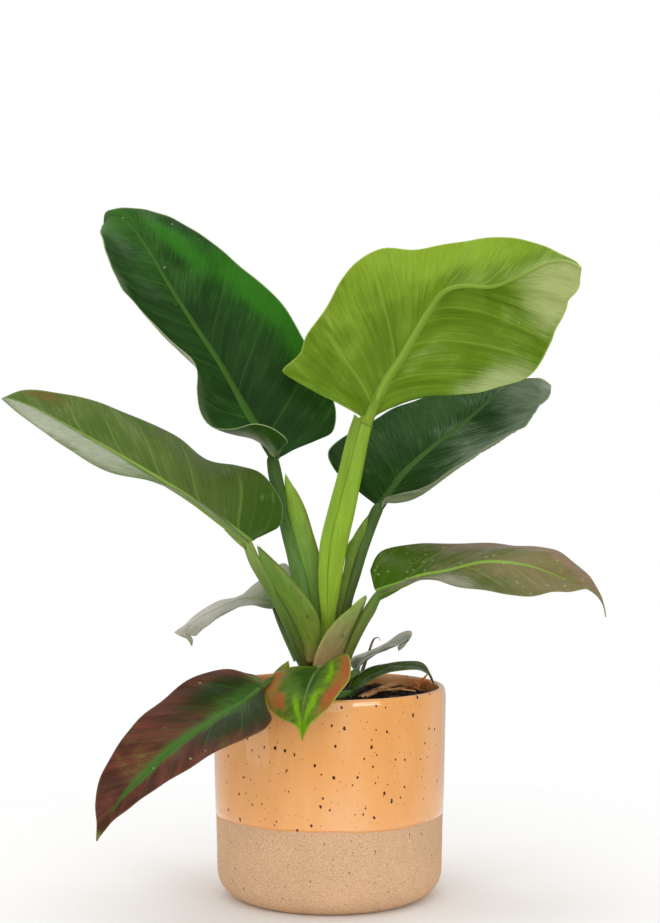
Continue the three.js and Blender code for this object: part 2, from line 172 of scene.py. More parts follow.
def pot_profile():
    """Radius and height from the middle of the foot round the outside, over the lip and down inside."""
    lip = (POT_WALL - SHOULDER_INSET) / 2
    lip_z = POT_HEIGHT - lip
    shoulder_z = lip_z - SHOULDER_HEIGHT
    slope = (POT_RIM_RADIUS - POT_WAIST_RADIUS) / (lip_z - POT_CORNER)
    wall = []
    for z in [*np.linspace(POT_CORNER, shoulder_z, 36)[:-1], *np.linspace(shoulder_z, lip_z, 7)]:
        drawn_in = SHOULDER_INSET * max(0, (z - lip_z) / SHOULDER_HEIGHT + 1) ** 2
        wall.append((POT_WAIST_RADIUS + slope * (z - POT_CORNER) - drawn_in, z))
    foot_r = POT_WAIST_RADIUS - POT_CORNER
    inner_r = POT_WAIST_RADIUS - POT_WALL
    corner_z = POT_FLOOR + POT_INNER_CORNER
    return [
        (0, POT_HOLLOW), (foot_r * 0.5, POT_HOLLOW), *[(foot_r - inset, z) for inset, z in FOOT_RING],
        *arc(foot_r, POT_CORNER, POT_CORNER, -90, 0, 12)[:-1],
        *wall,
        *arc(POT_RIM_RADIUS - SHOULDER_INSET - lip, lip_z, lip, 13, 180, 10)[:-1],
        *[(POT_RIM_RADIUS - POT_WALL - slope * (lip_z - z), z) for z in np.linspace(lip_z, corner_z, 14)],
        *arc(inner_r - POT_INNER_CORNER, corner_z, POT_INNER_CORNER, 0, -90, 8)[1:],
        (0, POT_FLOOR),
    ]


def pot_mesh(name, materials):
    """Turns the profile, with bare clay set back below a wavy glaze line on the outside wall."""
    profile = np.array(pot_profile())
    turn = np.linspace(0, 2 * np.pi, POT_SEGMENTS, endpoint=False)
    outside = np.arange(len(profile)) < OUTSIDE_POINTS
    wave = sum(height * np.sin(count * turn + start) for count, height, start in GLAZE_WAVES)
    edge = int(np.argmin(np.abs(profile[:, 1] - GLAZE_LINE) + 99 * ~outside))
    profile[edge, 1] = GLAZE_LINE
    bare = outside & (profile[:, 1] < GLAZE_LINE)
    profile[bare & (profile[:, 1] > 1), 0] -= GLAZE_THICKNESS
    step = profile[edge].copy()
    step[0] -= GLAZE_THICKNESS
    bead = profile[edge] + [0, GLAZE_THICKNESS]
    profile = np.vstack([profile[:edge], step, bead, profile[edge + 1 :]])
    near = np.exp(-(((profile[:, 1] - GLAZE_LINE) / GLAZE_WAVE_REACH) ** 2))
    near *= np.arange(len(profile)) <= OUTSIDE_POINTS
    z = profile[:, 1, None] + near[:, None] * wave
    r = profile[:, 0, None] * np.ones_like(turn)
    points = np.stack([r * np.cos(turn), r * np.sin(turn), z], -1).reshape(-1, 3)
    faces = grid_faces(len(profile), POT_SEGMENTS, wrap=True)
    row = np.arange(len(faces)) // POT_SEGMENTS
    height = np.repeat(profile[:, 1] - GLAZE_LINE, POT_SEGMENTS)
    return mesh_object(name, points, faces, materials, {"glaze_height": height}, (row >= edge).astype(int))


def object_place(tree):
    """The place of each point on the whole object, which the patterns follow."""
    return add(tree, "ShaderNodeTexCoord").outputs["Object"]


def iron_specks(tree, colour, dark, layers):
    """Lays iron specks over a colour: round to oblong spots on the wall, at most one in each square.

    A layer is (side of a square in mm, share of the squares left empty, widest radius in mm).
    """
    place = add(tree, "ShaderNodeSeparateXYZ", {0: object_place(tree)})
    front = add(tree, "ShaderNodeMath", {0: place.outputs["Y"], 1: -1.0}, operation="MULTIPLY")
    angle = add(tree, "ShaderNodeMath", {0: place.outputs["X"], 1: front}, operation="ARCTAN2")
    round_wall = add(tree, "ShaderNodeMath", {0: angle, 1: POT_RIM_RADIUS * MM}, operation="MULTIPLY")
    wall = add(tree, "ShaderNodeCombineXYZ", {"X": round_wall, "Y": place.outputs["Z"]})
    warp = add(tree, "ShaderNodeTexNoise", {"Vector": wall, "Scale": 1 / (2.5 * MM), "Detail": 1.0})
    centred = add(tree, "ShaderNodeVectorMath", {0: warp.outputs["Color"], 1: (0.5, 0.5, 0.5)},
                  operation="SUBTRACT")
    shift = add(tree, "ShaderNodeVectorMath", {0: centred, "Scale": 1.3 * MM}, operation="SCALE")
    bent = add(tree, "ShaderNodeVectorMath", {0: wall, 1: shift})
    leaning = add(tree, "ShaderNodeMapping",
                  {"Vector": bent, "Rotation": (0, 0, 0.6), "Scale": (1.25, 0.85, 1)})
    for side, empty, widest in layers:
        cells = add(tree, "ShaderNodeTexVoronoi", {"Vector": leaning, "Scale": 1 / (side * MM)},
                    voronoi_dimensions="2D")
        pick = add(tree, "ShaderNodeSeparateColor", {"Color": cells.outputs["Color"]})
        reach = add(tree, "ShaderNodeMapRange", {"Value": pick, "From Min": empty, "From Max": 1.0,
                                                 "To Min": 0.3 * widest / side, "To Max": widest / side})
        chosen = add(tree, "ShaderNodeMath", {0: pick, 1: empty}, operation="GREATER_THAN")
        inside = add(tree, "ShaderNodeMath", {0: reach, 1: cells}, operation="SUBTRACT")
        spot = add(tree, "ShaderNodeMapRange", {"Value": inside, "From Min": 0.0, "From Max": 0.12 / side})
        speck = add(tree, "ShaderNodeMath", {0: spot, 1: chosen}, operation="MULTIPLY")
        colour = add(tree, "ShaderNodeMix", {"Factor": speck, "A": colour, "B": dark}, data_type="RGBA")
    return colour


def bare_stoneware():
    """Unglazed buff stoneware: dry and matt, sandy with grog, with a few iron specks burnt through."""
    material, tree, shader = new_material("bare_buff_stoneware", Roughness=0.86, IOR=1.5)
    place = object_place(tree)
    sand = add(tree, "ShaderNodeTexNoise", {"Vector": place, "Scale": 1 / (0.6 * MM), "Detail": 2.0})
    cloud = add(tree, "ShaderNodeTexNoise", {"Vector": place, "Scale": 1 / (40 * MM), "Detail": 2.0})
    clay = add(tree, "ShaderNodeValToRGB", {"Fac": sand},
               ramp=[(0.3, "#bd946f"), (0.5, "#d0a881"), (0.72, "#e0c09b")])
    shade = add(tree, "ShaderNodeMapRange", {"Value": cloud, "From Min": 0.3, "From Max": 0.7,
                                             "To Min": 0.93, "To Max": 1.05})
    toned = add(tree, "ShaderNodeVectorMath", {0: clay.outputs["Color"], "Scale": shade}, operation="SCALE")
    colour = iron_specks(tree, toned, "#5f3d28", [(2.1, 0.45, 0.34), (11, 0.55, 0.7)])
    bump = add(tree, "ShaderNodeBump", {"Height": sand, "Strength": 0.5, "Distance": 0.25 * MM})
    feed(tree, shader, {"Base Color": colour, "Normal": bump})
    return material


def speckled_glaze():
    """Glossy orange glaze over iron-flecked clay: a glassy coat, deeper where it gathers at its edge."""
    material, tree, shader = new_material("speckled_orange_glaze", Roughness=0.12, IOR=1.5, Coat_Weight=0.5)
    place = object_place(tree)
    height = add(tree, "ShaderNodeAttribute", attribute_name="glaze_height").outputs["Fac"]
    runs = add(tree, "ShaderNodeMapping", {"Vector": place, "Scale": (1, 1, 0.3)})
    cloud = add(tree, "ShaderNodeTexNoise", {"Vector": runs, "Scale": 1 / (22 * MM), "Detail": 3.0})
    body = add(tree, "ShaderNodeValToRGB", {"Fac": cloud},
               ramp=[(0.3, "#e9a25d"), (0.5, "#edab68"), (0.7, "#f0b47a")])
    thick = add(tree, "ShaderNodeMapRange", {"Value": height, "From Min": 0.3, "From Max": GLAZE_EDGE,
                                             "To Min": 0.75, "To Max": 0.0}, interpolation_type="SMOOTHSTEP")
    tone = add(tree, "ShaderNodeMix", {"Factor": thick, "A": body.outputs["Color"], "B": "#e08a38"},
               data_type="RGBA")
    colour = iron_specks(tree, tone, "#43190f", [(7.2, 0.64, 1.1), (4.4, 0.62, 0.4)])
    ripple = add(tree, "ShaderNodeTexNoise", {"Vector": place, "Scale": 1 / (14 * MM), "Detail": 1.0})
    bump = add(tree, "ShaderNodeBump", {"Height": ripple, "Strength": 0.12, "Distance": 0.6 * MM})
    feed(tree, shader, {"Base Color": colour, "Normal": bump})
    return material


pot = pot_mesh("stoneware_pot", [bare_stoneware(), speckled_glaze()])
settle(pot, "pot_stoneware", "pot")

# The potting mix
# A dark, moist mix of peat and composted bark that fills the pot to just under the rim. Its top is
# lumpy and strewn with crumbs, and pieces of bark lie loose on it.
SOIL_TOP = 117.4
SOIL_RADIUS = 64.7
SOIL_FOOT_RADIUS = 62.4
SOIL_FOOT = 8.4
SOIL_CORNER = 12
SOIL_WAIST = 60
SOIL_RINGS = 46
SOIL_SEGMENTS = 132
SOIL_LUMP = 1.5
SOIL_LUMP_SIZE = 9.0
SOIL_FALL_AT_WALL = 1.6
CRUMBS_PER_M2 = 75000
CRUMB_RADII = (0.7, 2.3)
BARK_THICKNESS = 2.2
BARK_LIFT = 1.2
# Each piece of bark as (x, y, turn in degrees, length)
BARK_PIECES = [
    (40, -20, 20, 9), (30, 42, 75, 8), (-20, 48, 130, 10), (-46, 20, 40, 9), (10, 50, 165, 8),
    (52, -6, 100, 7),
]


def moist_peat():
    """Moist peat: almost black, matt, with a slight wet glint on its crumbs."""
    material, tree, shader = new_material("moist_peat", IOR=1.4)
    place = object_place(tree)
    grain = add(tree, "ShaderNodeTexNoise", {"Vector": place, "Scale": 1 / (1.6 * MM), "Detail": 4.0})
    patch = add(tree, "ShaderNodeTexNoise", {"Vector": place, "Scale": 1 / (9 * MM), "Detail": 2.0})
    mixed = add(tree, "ShaderNodeMath", {0: grain, 1: patch}, operation="MULTIPLY")
    colour = add(tree, "ShaderNodeValToRGB", {"Fac": mixed},
                 ramp=[(0.16, "#16100d"), (0.28, "#2e2019"), (0.42, "#54402f")])
    wet = add(tree, "ShaderNodeMapRange", {"Value": patch, "To Min": 0.6, "To Max": 0.95})
    bump = add(tree, "ShaderNodeBump", {"Height": grain, "Strength": 0.8, "Distance": 0.5 * MM})
    feed(tree, shader, {"Base Color": colour, "Roughness": wet, "Normal": bump})
    return material


def bark_material():
    """Composted pine bark: brown, fibrous along its length, dull."""
    material, tree, shader = new_material("composted_bark", Roughness=0.85, IOR=1.45)
    place = object_place(tree)
    fibre = add(tree, "ShaderNodeTexNoise",
                {"Vector": place, "Scale": 1 / (2.2 * MM), "Detail": 4.0, "Distortion": 1.2})
    colour = add(tree, "ShaderNodeValToRGB", {"Fac": fibre},
                 ramp=[(0.3, "#2c1c13"), (0.52, "#573a27"), (0.75, "#7d5a3d")])
    bump = add(tree, "ShaderNodeBump", {"Height": fibre, "Strength": 0.7, "Distance": 0.5 * MM})
    feed(tree, shader, {"Base Color": colour, "Normal": bump})
    return material


def soil_mesh(name, material):
    """A closed body of mix: a flat foot, straight sides and a lumpy top."""
    turn = np.linspace(0, 2 * np.pi, SOIL_SEGMENTS, endpoint=False)
    outline = [
        (0, SOIL_FOOT), (SOIL_FOOT_RADIUS - SOIL_CORNER, SOIL_FOOT),
        (SOIL_FOOT_RADIUS, SOIL_FOOT + SOIL_CORNER), (SOIL_FOOT_RADIUS + 1, SOIL_WAIST),
        (SOIL_RADIUS, SOIL_TOP - 3),
    ]
    below = len(outline)
    outline += [(SOIL_RADIUS * math.sqrt(s), SOIL_TOP) for s in np.linspace(0.999, 0, SOIL_RINGS)]
    outline = np.array(outline)
    r = outline[:, 0, None] * np.ones_like(turn)
    points = np.stack([r * np.cos(turn), r * np.sin(turn), outline[:, 1, None] + 0 * r], -1).reshape(-1, 3)
    for point in points[below * SOIL_SEGMENTS :]:
        lump = noise.fractal(Vector(point) / SOIL_LUMP_SIZE, 0.7, 2.1, 4)
        fall = SOIL_FALL_AT_WALL * (math.hypot(point[0], point[1]) / SOIL_RADIUS) ** 6
        point[2] += SOIL_LUMP * lump - fall
    points[-SOIL_SEGMENTS:] = points[-SOIL_SEGMENTS:].mean(0)
    return mesh_object(name, points, grid_faces(len(outline), SOIL_SEGMENTS, wrap=True), [material])


def new_tree(name, **sockets):
    """A Geometry Nodes tree with a mesh going in and out and one named input for each size."""
    tree = bpy.data.node_groups.new(name, "GeometryNodeTree")
    tree.interface.new_socket("Geometry", in_out="INPUT", socket_type="NodeSocketGeometry")
    tree.interface.new_socket("Geometry", in_out="OUTPUT", socket_type="NodeSocketGeometry")
    for socket, kind in sockets.items():
        tree.interface.new_socket(socket.replace("_", " "), in_out="INPUT", socket_type="NodeSocket" + kind)
    return tree, add(tree, "NodeGroupInput").outputs


def grown(name, source, tree, **values):
    """The plain mesh that the tree makes from the source, as a new object; the source is removed."""
    modifier = source.modifiers.new(tree.name, "NODES")
    modifier.node_group = tree
    for socket in tree.interface.items_tree:
        key = socket.name.replace(" ", "_")
        if socket.in_out == "INPUT" and key in values:
            modifier[socket.identifier] = values[key]
    evaluated = source.evaluated_get(bpy.context.evaluated_depsgraph_get())
    mesh = bpy.data.meshes.new_from_object(evaluated)
    mesh.name = name
    made = new_object(name, mesh)
    bpy.data.objects.remove(source)
    return made


def twin(piece):
    """A copy of a piece with a mesh of its own, for new pieces to grow on."""
    made = piece.copy()
    made.data = piece.data.copy()
    bpy.context.scene.collection.objects.link(made)
    return made


def strewn_tree():
    """Strews roughened bits over the upward faces of a mesh, each turned and sized by chance."""
    tree, given = new_tree("strewn_bits", Per_square_metre="Float", Least="Float", Most="Float", Seed="Int",
                           Material="Material")
    up = add(tree, "ShaderNodeSeparateXYZ", {0: add(tree, "GeometryNodeInputNormal")})
    upward = add(tree, "FunctionNodeCompare", {0: up.outputs["Z"], 1: 0.5}, operation="GREATER_THAN")
    points = add(tree, "GeometryNodeDistributePointsOnFaces", {
        "Mesh": given["Geometry"], "Selection": upward, "Density": given["Per square metre"],
        "Seed": given["Seed"],
    })
    bit = add(tree, "GeometryNodeMeshIcoSphere", {"Radius": 1.0, "Subdivisions": 2})
    turn = add(tree, "FunctionNodeRandomValue", {0: (0, 0, 0), 1: (6.3, 6.3, 6.3), "Seed": given["Seed"]},
               data_type="FLOAT_VECTOR")
    turned = add(tree, "FunctionNodeEulerToRotation", {0: turn})
    shape = add(tree, "FunctionNodeRandomValue", {0: (0.5, 0.35, 0.25), 1: (1.0, 0.8, 0.55), "Seed": 5},
                data_type="FLOAT_VECTOR")
    size = add(tree, "FunctionNodeRandomValue", {2: given["Least"], 3: given["Most"], "Seed": 7})
    scale = add(tree, "ShaderNodeVectorMath", {0: shape, "Scale": size}, operation="SCALE")
    strewn = add(tree, "GeometryNodeInstanceOnPoints", {
        "Points": points, "Instance": bit, "Rotation": turned, "Scale": scale,
    })
    real = add(tree, "GeometryNodeRealizeInstances", {0: strewn})
    rough = roughened(tree, real, 1 / (1.7 * MM), 1.1 * MM)
    done = add(tree, "GeometryNodeSetMaterial", {"Geometry": rough, "Material": given["Material"]})
    add(tree, "NodeGroupOutput", {0: done})
    return tree


def roughened(tree, geometry, scale, depth):
    """Moves each point by a noise of its own place, so that no two bits are alike."""
    place = add(tree, "GeometryNodeInputPosition")
    field = add(tree, "ShaderNodeTexNoise", {"Vector": place, "Scale": scale, "Detail": 2.0})
    centred = add(tree, "ShaderNodeVectorMath", {0: field.outputs["Color"], 1: (0.5, 0.5, 0.5)},
                  operation="SUBTRACT")
    offset = add(tree, "ShaderNodeVectorMath", {0: centred, "Scale": depth}, operation="SCALE")
    return add(tree, "GeometryNodeSetPosition", {"Geometry": geometry, "Offset": offset})


def chips_tree():
    """Lays a flat, split piece of bark on each point, by its own size and turn."""
    tree, given = new_tree("bark_pieces", Thickness="Float", Material="Material")
    size = add(tree, "GeometryNodeInputNamedAttribute", {"Name": "size"})
    turn = add(tree, "GeometryNodeInputNamedAttribute", {"Name": "turn"})
    block = add(tree, "GeometryNodeMeshCube",
                {"Size": (1, 0.55, 1), "Vertices X": 9, "Vertices Y": 6, "Vertices Z": 4})
    lie = add(tree, "ShaderNodeCombineXYZ", {"X": 0.18, "Y": 0.06, "Z": turn})
    turned = add(tree, "FunctionNodeEulerToRotation", {0: lie})
    scale = add(tree, "ShaderNodeCombineXYZ", {"X": size, "Y": size, "Z": given["Thickness"]})
    laid = add(tree, "GeometryNodeInstanceOnPoints", {
        "Points": given["Geometry"], "Instance": block, "Rotation": turned, "Scale": scale,
    })
    real = add(tree, "GeometryNodeRealizeInstances", {0: laid})
    rough = roughened(tree, real, 1 / (2.6 * MM), 2.2 * MM)
    done = add(tree, "GeometryNodeSetMaterial", {"Geometry": rough, "Material": given["Material"]})
    add(tree, "NodeGroupOutput", {0: done})
    return tree


peat = moist_peat()
bark = bark_material()
soil = soil_mesh("potting_mix", peat)
settle(soil, "soil_bark", "soil")
least, most = CRUMB_RADII
crumbs = grown("soil_crumbs", twin(soil), strewn_tree(), Per_square_metre=CRUMBS_PER_M2, Least=least * MM,
               Most=most * MM, Seed=4, Material=peat)
settle(crumbs, "soil_bark")
chip_places = [(x, y, SOIL_TOP + BARK_LIFT) for x, y, _, _ in BARK_PIECES]
chip_points = mesh_object("bark_places", chip_places, [], [], {
    "turn": [math.radians(turn) for _, _, turn, _ in BARK_PIECES],
    "size": [length * MM for _, _, _, length in BARK_PIECES],
})
chips = grown("bark_pieces", chip_points, chips_tree(), Thickness=BARK_THICKNESS * MM, Material=bark)
settle(chips, "soil_bark", *[f"bark_chip_{i + 1}" for i in range(len(BARK_PIECES))])

# Dry matter on the soil
# A dry root that runs over the mix, the torn stub of an old leaf whose spike leans on the rim, and a
# papery bract at the back: dead, brown and light, each tapering along its own path.
STRAND_STEP = 0.9
# A strand is its node, the width and depth of its oval section, and rows of its path as (x, y, z, radius)
DRY_STRANDS = {
    "dry_root_strand": ("dry_root", (1, 0.8), [
        (18, -10, 118, 2.0), (25, 0, 119.5, 2.1), (32, 14, 120.6, 1.9), (40, 30, 121, 2.1),
        (47, 32, 120.6, 1.7),
    ]),
    "old_leaf_stub": ("old_stub", (1, 0.85), [
        (48, 31, 118.2, 1.6), (53, 28.5, 119.6, 3.2), (56, 28, 121.8, 1.9), (58, 28, 124.4, 1.1),
        (60.5, 28, 127.6, 0.4),
    ]),
    "dry_bract_blade": ("dry_bract", (1, 0.32), [
        (18, 50, 117, 2.0), (21, 54, 127, 1.5), (25, 58, 138, 1.0), (28, 60, 145.5, 0.8),
        (31, 61, 146.6, 0.55), (32.5, 61, 144.6, 0.25),
    ]),
}
FINE_ROOTS = [
    [(20, -4, 118.6, 0.8), (29, 2, 120.6, 0.9), (38, 10, 120.4, 0.8), (46, 22, 119.6, 0.7)],
    [(38, 12, 119, 0.7), (44, 6, 120.8, 0.6), (52, 8, 119.6, 0.5)],
    [(43, 31, 120, 0.8), (50, 22, 120.6, 0.6), (56, 14, 119.2, 0.4)],
]


def dry_fibre(name, dark, middle, pale):
    """Dead plant fibre: tan to brown, streaked along its length, without gloss."""
    material, tree, shader = new_material(name, Roughness=0.8, IOR=1.45)
    place = object_place(tree)
    fibre = add(tree, "ShaderNodeTexNoise",
                {"Vector": place, "Scale": 1 / (1.5 * MM), "Detail": 4.0, "Distortion": 1.0})
    patch = add(tree, "ShaderNodeTexNoise", {"Vector": place, "Scale": 1 / (8 * MM)})
    mixed = add(tree, "ShaderNodeMix", {"Factor": 0.5, "A": fibre, "B": patch})
    colour = add(tree, "ShaderNodeValToRGB", {"Fac": mixed},
                 ramp=[(0.36, dark), (0.5, middle), (0.64, pale)])
    bump = add(tree, "ShaderNodeBump", {"Height": fibre, "Strength": 0.6, "Distance": 0.3 * MM})
    feed(tree, shader, {"Base Color": colour, "Normal": bump})
    return material


def strand_tree():
    """Sweeps an uneven oval section along a path, as thick at each point as its own half width."""
    tree, given = new_tree("strand_along_path", Width="Float", Depth="Float", Step="Float", Roughness="Float",
                           Material="Material")
    path = add(tree, "GeometryNodeMeshToCurve", {"Mesh": given["Geometry"]})
    bent = add(tree, "GeometryNodeCurveSplineType", {"Curve": path}, spline_type="CATMULL_ROM")
    even = add(tree, "GeometryNodeResampleCurve", {"Curve": bent, "Length": given["Step"]}, mode="LENGTH")
    half = add(tree, "GeometryNodeInputNamedAttribute", {"Name": "half_width"})
    ring = add(tree, "GeometryNodeCurvePrimitiveCircle", {"Resolution": 14, "Radius": 1.0})
    oval = add(tree, "ShaderNodeCombineXYZ", {"X": given["Width"], "Y": given["Depth"], "Z": 1.0})
    section = add(tree, "GeometryNodeTransform", {"Geometry": ring.outputs["Curve"], "Scale": oval})
    tube = add(tree, "GeometryNodeCurveToMesh", {"Curve": even, "Profile Curve": section,
                                                 "Scale": half, "Fill Caps": True})
    rough = roughened(tree, tube, 1 / (2.4 * MM), given["Roughness"])
    smooth = add(tree, "GeometryNodeSetShadeSmooth", {"Geometry": rough})
    real = add(tree, "GeometryNodeRealizeInstances", {0: smooth})
    done = add(tree, "GeometryNodeSetMaterial", {"Geometry": real, "Material": given["Material"]})
    add(tree, "NodeGroupOutput", {0: done})
    return tree


def strand_source(rows):
    """The path of a strand as a chain of edges that carries its half widths."""
    mesh = bpy.data.meshes.new("strand_path")
    edges = [(i, i + 1) for i in range(len(rows) - 1)]
    mesh.from_pydata([tuple(v * MM for v in row[:3]) for row in rows], edges, [])
    widths = mesh.attributes.new("half_width", "FLOAT", "POINT")
    widths.data.foreach_set("value", [row[3] * MM for row in rows])
    return new_object("strand_path", mesh)


strand = strand_tree()
tan_fibre = dry_fibre("dry_root_fibre", "#a86c3e", "#e0a366", "#f2cc94")
torn_stub = dry_fibre("torn_leaf_stub", "#8f4a22", "#d97f3c", "#eeb06c")
papery = dry_fibre("dry_papery_bract", "#3d3322", "#66583a", "#8f8058")
strand_looks = {"dry_root": tan_fibre, "old_stub": torn_stub, "dry_bract": papery}
for strand_name, (node_name, (width, depth), rows) in DRY_STRANDS.items():
    piece = grown(strand_name, strand_source(rows), strand, Width=width, Depth=depth, Step=STRAND_STEP * MM,
                  Roughness=0.7 * MM, Material=strand_looks[node_name])
    settle(piece, "dry_matter", node_name)
for number, rows in enumerate(FINE_ROOTS, 1):
    piece = grown(f"fine_root_{number}", strand_source(rows), strand, Width=1.0, Depth=0.9,
                  Step=STRAND_STEP * MM, Roughness=0.6 * MM, Material=tan_fibre)
    settle(piece, "dry_matter")

# The stem
# The short, thick stem that all the stalks clasp: green above, pinkish brown and ringed by old leaf
# scars near the soil, rooted in the mix.
STEM_X = -3
STEM_RADIUS = 8.9
STEM_FOOT = 73
STEM_TOP = 140.4
STEM_RINGS = 60
STEM_SEGMENTS = 48
SCAR_SPACING = 5.5
SCAR_HEIGHT = 0.6


def green_stem():
    """Fleshy stem skin: satin, green at the top, blotchy and pinkish brown further down."""
    material, tree, shader = new_material("fleshy_stem_skin", Roughness=0.5, IOR=1.45)
    place = object_place(tree)
    height = add(tree, "ShaderNodeSeparateXYZ", {0: place})
    share = add(tree, "ShaderNodeMapRange",
                {"Value": height.outputs["Z"], "From Min": 116 * MM, "From Max": 141 * MM})
    blotch = add(tree, "ShaderNodeTexNoise", {"Vector": place, "Scale": 1 / (4 * MM), "Detail": 3.0})
    moved = add(tree, "ShaderNodeMath", {0: blotch, 1: 0.5, 2: share}, operation="MULTIPLY_ADD")
    colour = add(tree, "ShaderNodeValToRGB", {"Fac": moved},
                 ramp=[(0.2, "#7a5a42"), (0.5, "#a67f5c"), (0.8, "#8f8048"), (1.0, "#6b7a3a")])
    bump = add(tree, "ShaderNodeBump", {"Height": blotch, "Strength": 0.4, "Distance": 0.4 * MM})
    feed(tree, shader, {"Base Color": colour, "Normal": bump})
    return material


def stem_mesh(name, material):
    """A rounded, slightly lumpy post with a raised ring for each leaf scar."""
    turn = np.linspace(0, 2 * np.pi, STEM_SEGMENTS, endpoint=False)
    z = np.linspace(STEM_FOOT, STEM_TOP, STEM_RINGS)
    ring = np.abs(np.sin(np.pi * z / SCAR_SPACING)) ** 6
    body = STEM_RADIUS - 0.7 + SCAR_HEIGHT * ring
    r = body[:, None] * (1 + 0.03 * np.sin(3 * turn + 0.25 * z[:, None]))
    closed = np.vstack([0 * r[:1], r, 0 * r[:1]])
    z = np.concatenate([z[:1], z, z[-1:]])
    points = np.stack([STEM_X + closed * np.cos(turn), closed * np.sin(turn), z[:, None] + 0 * closed], -1)
    return mesh_object(name, points.reshape(-1, 3), grid_faces(len(z), STEM_SEGMENTS, wrap=True), [material])


settle(stem_mesh("ringed_stem", green_stem()), "stem_skin", "stem")

# The upper left leaf
# The tallest leaf, dark and satin, its left half curled away so that a strip of its pale underside
# shows; the strip's grey paleness is partly painted sheen, and a greyish painted sheen lies along the left
# margin.
# Each leaf grew as one sheet on a fleshy stalk whose thin sheath wings clasp the stem; the stalk
# runs on under the blade as the midrib, with laterals branching from it alternately.
BLADE_THICKNESS = 0.55
MARGIN_THICKNESS = 0.28
BLADE_ROWS = 116
ROW_SPREAD = 1.02
LAST_ROW = 0.997
SINUS_START = 0.03
ROW_EASING = 0.45
VEIN_CROWDING = 1.6
MIDRIB_CHORD = 0.15
FIRST_LATERAL = 6
CREASE_DEPTH = 0.22
CREASE_WIDTH = 1.9
EDGE_WAVE_LENGTH = 47
EDGE_FLUTTER = 4.1
RIB_BAND = (0, 0.22, 0.44, 0.66, 0.86, 1.04, 1.25, 1.6)
LAMINA_COLUMNS = 27
MARGIN_BAND = (0.978, 0.988, 0.995, 1.0)
WING_ROWS = 44
WING_COLUMNS = 9
WING_ROOT_THICKNESS = 1.7
WING_EDGE_THICKNESS = 0.45
WING_CURL = 0.13
STALK_RINGS = 64
STALK_SIDES = 28
STALK_END = [(0.015, 0.95), (0.05, 0.85), (0.1, 0.6)]
STALK_FLUTES = 5
FLUTE_DEPTH = 0.035
RING_HALF_WIDTH = 0.7
LARGEST_BEAD = 1.15
BEAD_SPACING = 2.5


def smooth_path(points, samples=1500):
    """A curve through the points, as a function of the share of its length."""
    p = np.array(points, float)
    p = np.vstack([2 * p[0] - p[1], p, 2 * p[-1] - p[-2]])
    t = np.linspace(0, len(p) - 3, samples)
    i = np.minimum(t.astype(int), len(p) - 4)
    f = (t - i)[:, None]
    a, b, c, d = p[i], p[i + 1], p[i + 2], p[i + 3]
    bend = 0.5 * f * (c - a) + f**2 * (a - 2.5 * b + 2 * c - 0.5 * d) + 0.5 * f**3 * (3 * (b - c) + d - a)
    line = b + bend
    run = np.concatenate([[0], np.cumsum(np.linalg.norm(np.diff(line[:, :3], axis=0), axis=1))])

    def at(share):
        where = np.clip(share, 0, 1) * run[-1]
        return np.stack([np.interp(where, run, line[:, k]) for k in range(line.shape[1])], -1)

    at.length = run[-1]
    return at


def unit(vectors):
    """The same directions, each one long."""
    return vectors / np.maximum(np.linalg.norm(vectors, axis=-1, keepdims=True), 1e-9)


def smoothstep(value, low, high):
    """Rises softly from 0 at the low value to 1 at the high one."""
    share = np.clip((value - low) / (high - low), 0, 1)
    return share * share * (3 - 2 * share)


